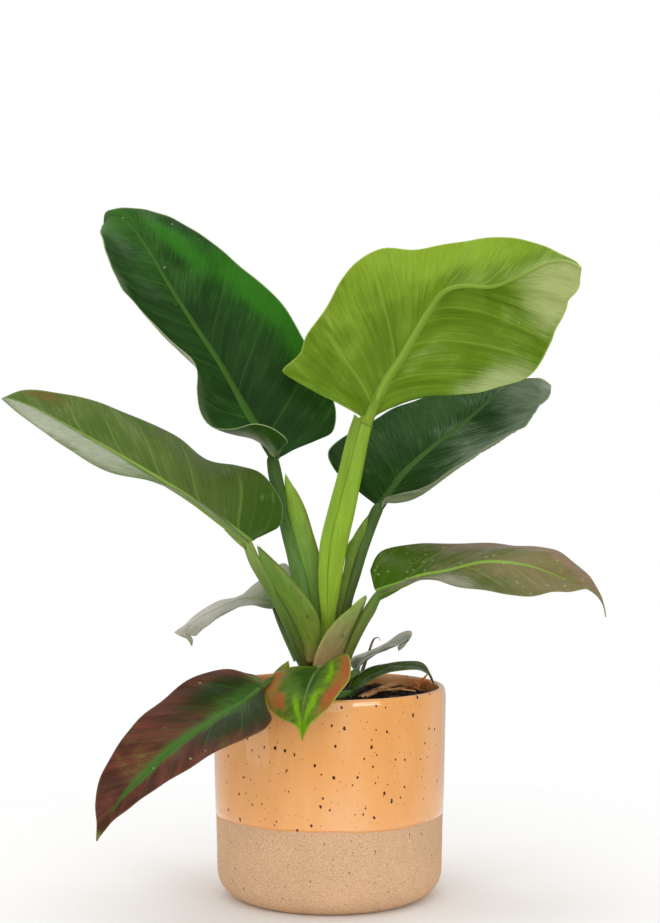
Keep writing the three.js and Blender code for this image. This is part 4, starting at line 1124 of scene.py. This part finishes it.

# The back right leaf
# Dark and rippled, reaching back to the right behind the lime leaf, with grey-green painted sheen on its
# right half and its tip.
BACK_RIGHT = {
    **TYPICAL_LEAF,
    "joint": (30, 12, 231), "tip": (144, 84, 308), "bulge": {"left": 0.04, "right": -0.13},
    "midrib": [
        (39, 16, 243), (47, 20, 253), (64, 30, 268), (80, 41, 280), (94, 51, 291), (111, 62, 305),
        (128, 73, 312),
    ],
    "left": [
        (18, 15, 240), (6, 18, 250), (1, 21, 257), (-1, 27, 263), (1, 33, 268), (10, 48, 275),
        (29, 63, 285), (49, 71, 296), (84, 76, 306), (124, 80, 310), (136, 83, 313),
    ],
    "right": [
        (34, 0, 237), (42, -12, 240), (53, -20, 242), (62, -24, 246), (73, -22, 254), (91, -10, 266),
        (111, 8, 276), (123, 26, 283), (130, 48, 291), (141, 72, 300),
    ],
    "stalk": [
        (29, 12, 229, 7, 6.5), (24, 11, 217, 7.5, 7), (19, 9, 203.5, 8, 7.5), (15, 7, 189.5, 7.5, 8),
        (11, 6, 175, 6.5, 8), (8, 5, 160, 8, 8), (0.5, 4, 142, 9.5, 8),
    ],
    "wings": [
        ([(23.5, 9, 225.5), (23, 9, 220.5), (21.5, 8.5, 214.5), (19, 7.5, 207.5), (16.5, 6.5, 199),
          (13.5, 5.5, 187), (10.5, 4.5, 175), (7, 4, 162), (1.5, 3.5, 146)],
         [(23.5, 9, 225.5), (20, 8, 220.5), (16, 7, 214.5), (11.5, 6, 209.5), (10, 5.5, 205), (9, 4.5, 196),
          (7, 3.5, 186.5), (5, 3, 178), (2.5, 2, 166), (0.5, 2, 148)]),
        ([(25.5, 16, 228), (24.5, 14, 220.5), (21, 13, 212), (17.5, 11, 201), (13.5, 9, 188),
          (9.5, 8, 174.5), (2.5, 6, 147.5)],
         [(25.5, 16, 228), (20, 15, 221.5), (14.5, 14, 213), (10.5, 12, 205.5), (9, 10, 193), (6, 8, 178),
          (1.5, 6, 150.5)]),
    ],
    "slots": ("leaf_dark", "petiole_green"), "rib": (2.5, 0.45), "spacing": 24, "lean": (0.3, 1.2),
    "ripple": (0.35, 1.3), "wave": 0.5, "gloss": 0.02, "vein_strength": 0.2, "streaks": 0.3,
    "upper": ("#1f3815", "#28441b"), "under": ("#86906a", "#9ba587"), "rib_colour": ("#41602c", "#8fa35e"),
    "rim_colour": "#8c9c72",
    "washes": [
        ("#325226", [(0.6, -0.6, 0.2, 0.5)]),
        # Painted sheen: grey-green reflections of the bright surround on the rippled right half and at the
        # tip
        ("#66755e", [(0.5, 1.0, 0.24, 0.5), (0.82, 0.4, 0.14, 0.8)]),
        ("#8a9783", [(1.0, 0, 0.1, 1.5)]),
    ],
    "stalk_colours": [(0.0, "#3f5526"), (0.3, "#4c6629"), (1.0, "#40501f")],
    "sheath_colours": [(0.3, "#6d8a22"), (1.0, "#5a6c2a")],
}
grow_leaf("back_right", BACK_RIGHT)

# The middle left leaf
# An olive leaf held out to the left, its near half curled down and back so that the underside
# shows along its lower edge; the silvery grey along that near half is a painted reflection of the bright
# surround.
MID_LEFT = {
    **TYPICAL_LEAF,
    "joint": (-47, -18, 210), "tip": (-190, -40, 295), "bulge": {"left": 0.02, "right": 0.05},
    "midrib": [
        (-65, -20, 224), (-81, -22, 236), (-95, -24, 245), (-114, -28, 257), (-136, -32, 270),
        (-155, -35, 281), (-171, -38, 290), (-184, -40, 295),
    ],
    "left": [
        (-53, -42, 218), (-61, -62, 226), (-71, -69, 234), (-85, -70, 242), (-102, -70, 248),
        (-128, -65, 254.2), (-155, -54, 270), (-179, -42, 286),
    ],
    "right": [
        (-39, -11, 217), (-31, -8, 219), (-28, -5, 227), (-30, 0, 237), (-41, 9, 251), (-56, 15, 256),
        (-75, 17, 260), (-93, 13, 273.8), (-116, 3, 285), (-141, -15, 295), (-161, -32, 299),
        (-177, -39, 300),
    ],
    "stalk": [
        (-48, -18, 209, 6, 6), (-44, -17, 199.5, 7, 6.5), (-38.5, -15, 190, 7.5, 7),
        (-30.5, -12, 176.5, 8, 7), (-23, -10, 162, 8.5, 7), (-17, -8, 147.5, 7.5, 7),
        (-13.5, -6, 135, 6.5, 7),
    ],
    "wings": [
        ([(-43, -18, 209.5), (-42, -18, 204.5), (-40, -17, 197), (-35, -16, 187.5), (-28, -14.5, 175.5),
          (-21.5, -13, 163.5), (-16.5, -11, 151.5), (-13.5, -9, 139)],
         [(-43, -18, 209.5), (-37.5, -18, 203), (-30, -17.5, 196.5), (-22, -17, 188), (-15.5, -16, 180.5),
          (-9, -15, 172), (-6, -14, 164.5), (-5.5, -13.5, 157.5), (-6, -12.5, 149), (-9.5, -11, 139)]),
        ([(-42, -12, 208.5), (-40, -12, 199), (-34, -10.5, 187), (-26, -9, 173.5), (-17.5, -7, 159)],
         [(-42, -12, 208.5), (-34, -11, 201), (-24.5, -9, 191.5), (-16.5, -8, 182), (-8, -7, 168.5)]),
    ],
    "slots": ("leaf_olive", "petiole_green"), "rib": (3.1, 0.5), "spacing": 27, "ripple": (0.35, 0.25),
    "wave": 0.15, "vein_strength": 0.34, "streaks": 0.18, "tinted": (1, 0.9), "spots": 0.45,
    "dew": (500, 0, 1),
    "upper": ("#52692c", "#62763a"), "under": ("#6a7a50", "#8a9672"), "rib_colour": ("#8aa84a", "#86a24c"),
    "rim_colour": "#7d8f58",
    "washes": [
        ("#3b5a17", [(0.14, 0.6, 0.2, 0.9)]),
        ("#86a54a", [(0.16, -0.3, 0.2, 0.22)]),
        # Painted reflection: the silvery grey of the bright surround along the near half, on both sides
        ("#a3aa92", [(0.78, -0.62, 0.26, 0.42), (0.78, -0.25, 0.24, 0.16)]),
        ("#6d6430", [(0.83, 0.8, 0.06, 0.25)]),
    ],
    "stalk_colours": [
        (0.0, "#84a34a"), (0.25, "#7d9346"), (0.5, "#5f7a30"), (0.8, "#4c6420"), (1.0, "#4c4a1c"),
    ],
    "sheath_colours": [(0.25, "#698838"), (0.6, "#638229"), (0.85, "#6b8028"), (1.0, "#8a7a48")],
    "sheath_edge": "#8b8d44",
}
grow_leaf("mid_left", MID_LEFT)

# The middle right leaf
# An older leaf, green by the stalk and flushed bronze and mauve towards its long drip tip, beaded with
# water, with a silvery painted sheen on its near half. The base of its stalk is pinkish beige.
MID_RIGHT = {
    **TYPICAL_LEAF,
    "joint": (28, -12, 180), "tip": (159, -46, 169), "bulge": {"left": 0.05, "right": -0.01},
    "midrib": [
        (42, -19, 186), (53, -22, 191), (67, -25, 194), (89, -31, 200), (111, -37, 199), (127, -40, 194),
        (141, -42, 188), (149, -43.5, 185.5), (154.5, -44, 181.5), (158, -44.5, 175.5),
    ],
    "left": [
        (25, -4, 190), (25, 0, 195), (32, 6, 205), (52, 9, 209), (70, 7, 209), (92, 2, 209), (109, -6, 209),
        (130, -20, 207), (140, -28, 202), (148, -33, 195.5), (154, -39, 186.5), (158, -43, 177),
    ],
    "right": [
        (36, -36, 185.2), (47, -53, 191.4), (60, -60, 192), (70, -61, 189), (85, -61, 186), (109, -57, 182),
        (125, -55, 184), (136, -54, 184), (148, -51, 186), (153, -48, 182.5), (157, -45, 176),
    ],
    "stalk": [
        (28, -12, 177.5, 5.5, 6), (24, -13, 170.5, 7, 6.5), (20, -14, 164, 7, 7), (15.5, -14, 155.5, 7, 7),
        (12, -13, 148, 7, 7), (8.5, -11, 140.5, 7.5, 7), (2.5, -9, 134, 9.5, 7),
    ],
    "wings": [
        ([(21.5, -13, 179.5), (21, -14, 175.5), (18.5, -15.5, 170), (15, -17, 163), (11.5, -17, 155),
          (9, -16, 147.5), (6, -14, 141), (2, -12, 134.5)],
         [(21.5, -13, 179.5), (16.5, -15, 176), (11, -17, 171), (5.5, -19, 166.5), (-0.5, -20, 160),
          (-4.5, -19.5, 153.5), (-8, -18, 145.5), (-10, -15, 137.5)]),
        ([(22.5, -8, 178.5), (20.5, -9, 172.5), (17, -9.5, 165.5), (12, -9, 157)],
         [(22.5, -8, 178.5), (17, -7.5, 173.5), (11.5, -7, 168), (7.5, -6, 161.5)]),
    ],
    "slots": ("leaf_bronze", "petiole_rosy"), "rib": (3.1, 0.45), "spacing": 24, "ripple": (0.3, 0.3),
    "vein_strength": 0.25, "mottle": 20, "spots": 0.5, "dew": (17000, 0, 4),
    "upper": ("#3c5a0e", "#476216"), "under": ("#7b7c5c", "#8b8a6c"), "rib_colour": ("#86a842", "#86a04a"),
    "rim_colour": "#7f7a50",
    "washes": [
        ("#7a7048", [(0.74, 0, 0.26, 2.0)]),
        ("#87725a", [(0.5, -0.95, 0.14, 0.3), (0.76, -0.95, 0.2, 0.35), (0.97, 0, 0.12, 1.5)]),
        # Painted sheen: a silvery reflection of the bright surround on the near half
        ("#a09b88", [(0.42, 0.6, 0.08, 0.5)]),
    ],
    "stalk_colours": [(0.0, "#56802a"), (0.4, "#5f7630"), (0.75, "#66702c"), (1.0, "#75703a")],
    "sheath_colours": [(0.25, "#86a045"), (0.45, "#7a8c42"), (0.7, "#8b8450"), (1.0, "#a5815c")],
}
grow_leaf("mid_right", MID_RIGHT)

# The back left leaf
# A small leaf behind, low at the left, seen from its underside, with a green drip tip; its silver-grey, on
# both sides, is a painted reflection of the bright surround.
BACK_LEFT = {
    **TYPICAL_LEAF,
    "joint": (-33, 24, 173), "tip": (-89, 80, 139), "bulge": {"left": -0.03, "right": 0.04},
    "midrib": [
        (-44, 32, 174), (-57, 44, 172), (-70, 56, 166), (-82, 67, 159), (-91, 76, 152), (-92, 80, 145),
    ],
    "left": [
        (-34, 8, 170), (-39, -2, 171), (-47, -3, 173), (-57, 0, 171), (-66, 10, 166), (-76, 25, 157),
        (-84, 45, 150), (-91, 62, 148.5), (-88.5, 74, 145.5), (-88.3, 78, 142.5),
    ],
    "right": [
        (-25, 32, 178), (-24, 44, 188), (-28, 53, 194), (-37, 61, 190), (-46, 72, 181), (-57, 80, 171),
        (-71, 85, 168), (-84, 86, 161), (-95, 85, 152), (-101, 83, 148), (-96, 82, 145.6),
        (-92.5, 81, 144.4), (-91, 80.5, 142.4),
    ],
    "stalk": [
        (-33, 24, 173, 5, 5), (-28, 19, 162, 6.2, 5.5), (-22, 13, 150, 7.5, 6), (-14, 6, 136, 9, 6),
        (-8, 3, 128, 9, 6),
    ],
    "wings": [
        ([(-35.5, 21, 170), (-32, 17, 160.5), (-27.5, 12, 150), (-21.5, 6, 137.5)],
         [(-34, 22, 171), (-29.5, 18, 161.5), (-25, 13, 152), (-19.5, 6, 139)]),
    ],
    "slots": ("leaf_silver", "petiole_green"), "rib": (1.5, 0.35), "spacing": 19, "ripple": (0.25, 0.25),
    "vein_strength": 0.2,
    # Painted reflection: the silver-grey of both sides stands in for the bright surround mirrored at a
    # grazing angle
    "upper": ("#94957f", "#aaa998"), "under": ("#a9a596", "#c6c0b3"), "rib_colour": ("#85906a", "#a8a888"),
    "rim_colour": "#8b9272",
    "washes": [
        ("#5c7140", [(0.15, -0.3, 0.2, 1.0)]),
        # A paler painted reflection
        ("#c2bdb2", [(0.72, 0.4, 0.2, 0.8)]),
        ("#4f6a30", [(0.2, -0.12, 0.28, 0.16)], (0.5, 1.2)),
        ("#5f7d3a", [(1.02, 0, 0.07, 1.5)], (1, 1.3)),
    ],
    "stalk_colours": [(0.0, "#767e62"), (0.4, "#5d693c"), (1.0, "#4d7028")],
    "sheath_colours": [(0.3, "#5f7a3c"), (1.0, "#5f7f3f")],
}
grow_leaf("back_left", BACK_LEFT)

# The low left leaf
# The oldest leaf, hanging over the rim at the left: red-brown along both edges, with a green middle
# and a lime drip tip.
LOW_LEFT = {
    **TYPICAL_LEAF,
    "joint": (-37, -54, 131), "tip": (-125, -114, 55), "bulge": {"left": 0.04, "right": 0.04},
    "midrib": [
        (-47, -65, 124), (-60, -79, 118), (-73, -90, 110), (-86, -98, 102), (-96, -104, 93),
        (-105, -108, 85), (-114, -111, 75),
    ],
    "left": [
        (-36, -72, 126), (-34, -88, 123), (-32, -98, 121), (-32, -103, 118), (-37, -106, 113),
        (-53, -117, 107), (-71, -122, 98), (-83, -124, 91), (-97, -122, 81), (-111, -119, 71),
        (-121, -115, 60),
    ],
    "right": [
        (-42, -46, 135.4), (-48, -40, 136), (-58, -37, 138), (-68, -40, 137), (-81, -49, 133),
        (-93, -62, 125.2), (-106, -77, 115), (-118, -95, 100), (-124, -105, 87), (-126, -110, 75),
        (-125, -113, 64),
    ],
    "stalk": [
        (-37, -54, 131, 5, 5), (-31, -42, 132.5, 6, 5.5), (-23, -30, 132.5, 8, 6), (-12, -13, 131, 9, 6),
    ],
    "wings": [
        ([(-24, -26, 142), (-28, -28, 139), (-32.5, -31, 134.5), (-35, -34, 130.5)],
         [(-24, -26, 142), (-23.5, -26, 138.5), (-23.5, -24, 134), (-21.5, -20, 127.5)]),
    ],
    "facing": (-0.5, -0.5, 1),
    "slots": ("leaf_burgundy", "petiole_green"), "rib": (1.9, 0.4), "spacing": 22, "ripple": (0.3, 0.3),
    "vein_strength": 0.2, "mottle": 22, "dew": (1500, 0, 3),
    "upper": ("#452a1e", "#6b3a2c"), "under": ("#6b5547", "#7d6656"), "rib_colour": ("#487428", "#7d7a4c"),
    "rim_colour": "#6b4a38",
    "washes": [
        ("#24340e", [(0.24, -0.6, 0.2, 0.6), (0.34, 0.45, 0.18, 0.3), (0.45, -0.4, 0.1, 0.3)]),
        ("#2f5216", [(0.25, 0.05, 0.25, 0.26)]),
        ("#446a2a", [(0.58, -0.04, 0.22, 0.18), (0.76, -0.15, 0.12, 0.18)]),
        ("#5c6a34", [(0.06, 0.5, 0.1, 0.6)]),
        ("#7d9a2c", [(1.0, 0, 0.05, 1.5)]),
    ],
    "stalk_colours": [(0.0, "#4c6428"), (1.0, "#5d5c2c")],
    "sheath_colours": [(0.3, "#7f8828"), (1.0, "#75832c")],
}
grow_leaf("low_left", LOW_LEFT)

# The front leaf
# A small leaf bent over the front rim: green in the middle, orange-red between, lime at the edges and
# the drip tip.
FRONT = {
    **TYPICAL_LEAF,
    "joint": (-5, -38, 139), "tip": (-15, -92, 105), "bulge": {"left": 0.04, "right": 0.04},
    "midrib": [(-9, -52, 136), (-12, -67, 131), (-14, -78, 125), (-15, -87, 115)],
    "left": [
        (-1, -38, 142), (4, -40, 146), (8, -45, 148), (11, -55, 148), (12, -66, 143), (11, -76, 137),
        (6, -84, 131), (0, -89, 123), (-7, -92, 118), (-11, -93, 114),
    ],
    "right": [
        (-12, -34, 139), (-21, -33, 139), (-28, -35, 137), (-33, -41, 135), (-37, -50, 131),
        (-37, -60, 126), (-34, -71, 120), (-26, -80, 115), (-21, -86, 114), (-17, -90, 111),
    ],
    "stalk": [
        (-5, -38, 139, 5, 4.5), (-4.5, -28, 136.5, 6, 5), (-4, -18, 132, 7, 5.5), (-3, -9, 126, 8, 6),
    ],
    "facing": (0, 0, 1),
    "slots": ("leaf_mottled", "petiole_rosy"), "rib": (1.3, 0.35), "spacing": 14, "ripple": (0.2, 0.2),
    "wave": 0.4, "vein_strength": 0.2, "mottle": 9,
    "upper": ("#445f1c", "#56751f"), "under": ("#8d8a4c", "#a09a5a"), "rib_colour": ("#5f7f30", "#8d8f50"),
    "rim_colour": "#96a43a",
    "washes": [
        ("#8a7030", [(0.5, -0.95, 0.24, 0.4), (0.46, 0.95, 0.22, 0.36)]),
        ("#9a5428", [(0.62, -0.8, 0.1, 0.22), (0.42, -0.9, 0.1, 0.16), (0.42, 0.9, 0.09, 0.2),
                     (0.6, 0.7, 0.08, 0.14)]),
        ("#6f9c0c", [(0.9, 0.0, 0.11, 1.5), (0.7, -0.34, 0.12, 0.14), (0.7, 0.3, 0.09, 0.13),
                     (0.44, -0.5, 0.12, 0.1)]),
        ("#2c4a18", [(0.34, 0.12, 0.16, 0.42), (0.54, 0.0, 0.1, 0.17)]),
    ],
    "stalk_colours": [(0.0, "#6d7f40"), (1.0, "#8d8a58")],
    "sheath_colours": [(0.3, "#8f9a55"), (1.0, "#9a8a55")],
}
grow_leaf("front", FRONT)

# The small back leaf
# A small silvery leaf low behind, at the right, on a short stalk.
SMALL_BACK = {
    **TYPICAL_LEAF,
    "joint": (16, 8, 131), "tip": (44, 62, 138), "bulge": {"left": 0, "right": 0},
    "midrib": [
        (19, 16, 136), (25, 24, 139), (33, 36, 142), (42, 49, 146), (49, 58, 149), (52, 63, 147),
        (47, 64, 143),
    ],
    "left": [
        (14, 14, 133), (12, 24, 136), (15, 33, 138), (21, 42, 139), (28, 48, 141), (38, 54, 145),
        (46, 60, 150), (51, 64, 151), (53, 68, 148), (48, 66, 141),
    ],
    "right": [
        (18, 2, 134), (21, -1, 139), (26, 4, 141), (34, 10, 145), (41, 20, 146), (49, 36, 148),
        (50, 50, 146), (44, 58, 141),
    ],
    "stalk": [(16, 8, 131, 5, 4.5), (11, 7, 127, 5.6, 5), (4, 5, 123, 6, 5.5)],
    "facing": (0, 0, 1),
    "slots": ("leaf_silver", "petiole_green"), "rib": (1.2, 0.3), "spacing": 14, "ripple": (0.2, 0.2),
    "wave": 0.4, "vein_strength": 0.2, "mottle": 12,
    "upper": ("#a09d88", "#b9b4a4"), "under": ("#9a9c8a", "#b0b1a2"), "rib_colour": ("#8a9a70", "#9aa080"),
    "rim_colour": "#6f7f50",
    "washes": [
        ("#4f5c38", [(0.22, -0.3, 0.16, 0.5), (0.45, -0.2, 0.16, 0.2)]),
        ("#6f8272", [(0.8, 0.6, 0.3, 0.5)]),
    ],
    "stalk_colours": [(0.0, "#6f8a44"), (1.0, "#5d7f45")],
    "sheath_colours": [(0.3, "#6f8f3f"), (1.0, "#6f8f3f")],
}
grow_leaf("small_back", SMALL_BACK)

# The small right leaf
# A small dark leaf arching over the mix at the right.
SMALL_RIGHT = {
    **TYPICAL_LEAF,
    "joint": (13, -4, 119), "tip": (63, 2, 124), "bulge": {"left": 0.05, "right": 0.05},
    "midrib": [
        (16, -4, 124), (22, -3, 129), (29, 0, 132), (38, 3, 135), (48, 6, 135), (55, 6, 134), (60, 4, 130),
    ],
    "left": [
        (12, 4, 122), (13, 10, 125), (16, 14, 128), (22, 17, 132), (29, 20, 134), (38, 22, 135),
        (46, 21, 136), (54, 17, 136), (59, 12, 134), (62, 7, 129),
    ],
    "right": [
        (14, -14, 120), (17, -20, 124), (21, -22, 127), (28, -20, 131), (36, -16, 134), (44, -11, 135),
        (52, -6, 134), (57, -2, 132), (61, -1, 129),
    ],
    "stalk": [(13, -4, 119.5, 5, 5), (9, -5, 118.5, 6, 6), (3, -5, 117.5, 7, 7)],
    "slots": ("leaf_dark", "petiole_green"), "rib": (1.2, 0.3), "spacing": 14, "ripple": (0.2, 0.2),
    "wave": 0.4, "gloss": 0.06, "vein_strength": 0.2, "mottle": 12,
    "upper": ("#31480a", "#3c560d"), "under": ("#565c39", "#6f7550"), "rib_colour": ("#46621c", "#6f7d44"),
    "rim_colour": "#5f7f30",
    "washes": [("#456a14", [(0.32, -0.1, 0.16, 0.7)])],
    "stalk_colours": [(0.0, "#5f8f3f"), (1.0, "#5d7f45")],
    "sheath_colours": [(0.3, "#6f8f3f"), (1.0, "#6f8f3f")],
}
grow_leaf("small_right", SMALL_RIGHT)

# The studio
# A plain pale floor that fades into a white surround, one large soft light in front at the left of the
# camera, a smaller one at the right, whose reflection lies on the lip of the pot, one far at the left,
# low, that lies as a sheen on the dark leaves, and one overhead.
FLOOR_SOLID = 0.08
FLOOR_RADIUS = 0.5
FLOOR_SIDES = 96
CAMERA_PLACE = (0.0003, -1.05, 0.2586)
CAMERA_LENS = 68.14


def pale_floor():
    """Seamless white paper, fading out at its edge so that no horizon shows."""
    material, tree, shader = new_material("white_paper_floor", Roughness=0.9)
    length = add(tree, "ShaderNodeVectorMath", {0: object_place(tree)}, operation="LENGTH").outputs["Value"]
    fade = add(tree, "ShaderNodeMapRange",
               {"Value": length, "From Min": FLOOR_SOLID, "From Max": FLOOR_RADIUS,
                                            "To Min": 1.0, "To Max": 0.0}, interpolation_type="SMOOTHSTEP")
    feed(tree, shader, {"Base Color": "#fbfbfa", "Alpha": fade})
    return material


turn = np.linspace(0, 2 * np.pi, FLOOR_SIDES, endpoint=False)
rim = np.stack([np.cos(turn), np.sin(turn), 0 * turn], -1) * FLOOR_RADIUS / MM
floor = mesh_object("paper_floor", rim, [list(range(FLOOR_SIDES))], [pale_floor()])

world = bpy.data.worlds.new("studio_surround")
world.use_nodes = True
bpy.context.scene.world = world
surround = world.node_tree
path = add(surround, "ShaderNodeLightPath")
heading = add(surround, "ShaderNodeSeparateXYZ",
              {0: add(surround, "ShaderNodeTexCoord").outputs["Generated"]})
# The backdrop behind the plant is bright; the room in front of it gives soft fill but is dark to mirror in
matt, mirrored = [
    add(surround, "ShaderNodeMapRange", {"Value": heading.outputs["Y"], "From Min": -0.2, "From Max": 0.7,
                                         "To Min": front, "To Max": back}, interpolation_type="SMOOTHSTEP")
    for front, back in ((0.66, 0.84), (0.12, 0.55))
]
unseen = add(surround, "ShaderNodeMix", {"Factor": path.outputs["Is Glossy Ray"], "A": matt, "B": mirrored})
strength = add(surround, "ShaderNodeMix", {"Factor": path.outputs["Is Camera Ray"], "A": unseen, "B": 1.0})
feed(surround, surround.nodes["Background"], {"Color": "#ffffff", "Strength": strength})

LIGHT_AIM = (0, 0, 0.2)
# Each soft light as its place, its width and height, and its strength
SOFTBOXES = {
    "key_softbox": ((-0.4, -1.8, 0.9), (2.0, 2.0), 13),
    "right_softbox": ((0.95, -1.3, 0.5), (0.8, 0.25), 4.5),
    "left_softbox": ((-1.5, -0.6, 0.25), (1.2, 1.0), 3.5),
    "top_softbox": ((-0.1, 0.2, 1.9), (1.0, 1.0), 9),
}
for name, (place, size, watts) in SOFTBOXES.items():
    light = bpy.data.lights.new(name, "AREA")
    light.shape = "RECTANGLE"
    light.size, light.size_y = size
    light.energy = watts
    lamp = new_object(name, light)
    lamp.location = place
    lamp.rotation_euler = (Vector(LIGHT_AIM) - Vector(place)).to_track_quat("-Z", "Y").to_euler()

camera = bpy.data.cameras.new("photo_camera")
camera.lens = CAMERA_LENS
camera.sensor_width = 36
view = new_object("photo_camera", camera)
view.location = CAMERA_PLACE
view.rotation_euler = (math.radians(90), 0, 0)
bpy.context.scene.camera = view
bpy.context.scene.view_settings.view_transform = "Standard"
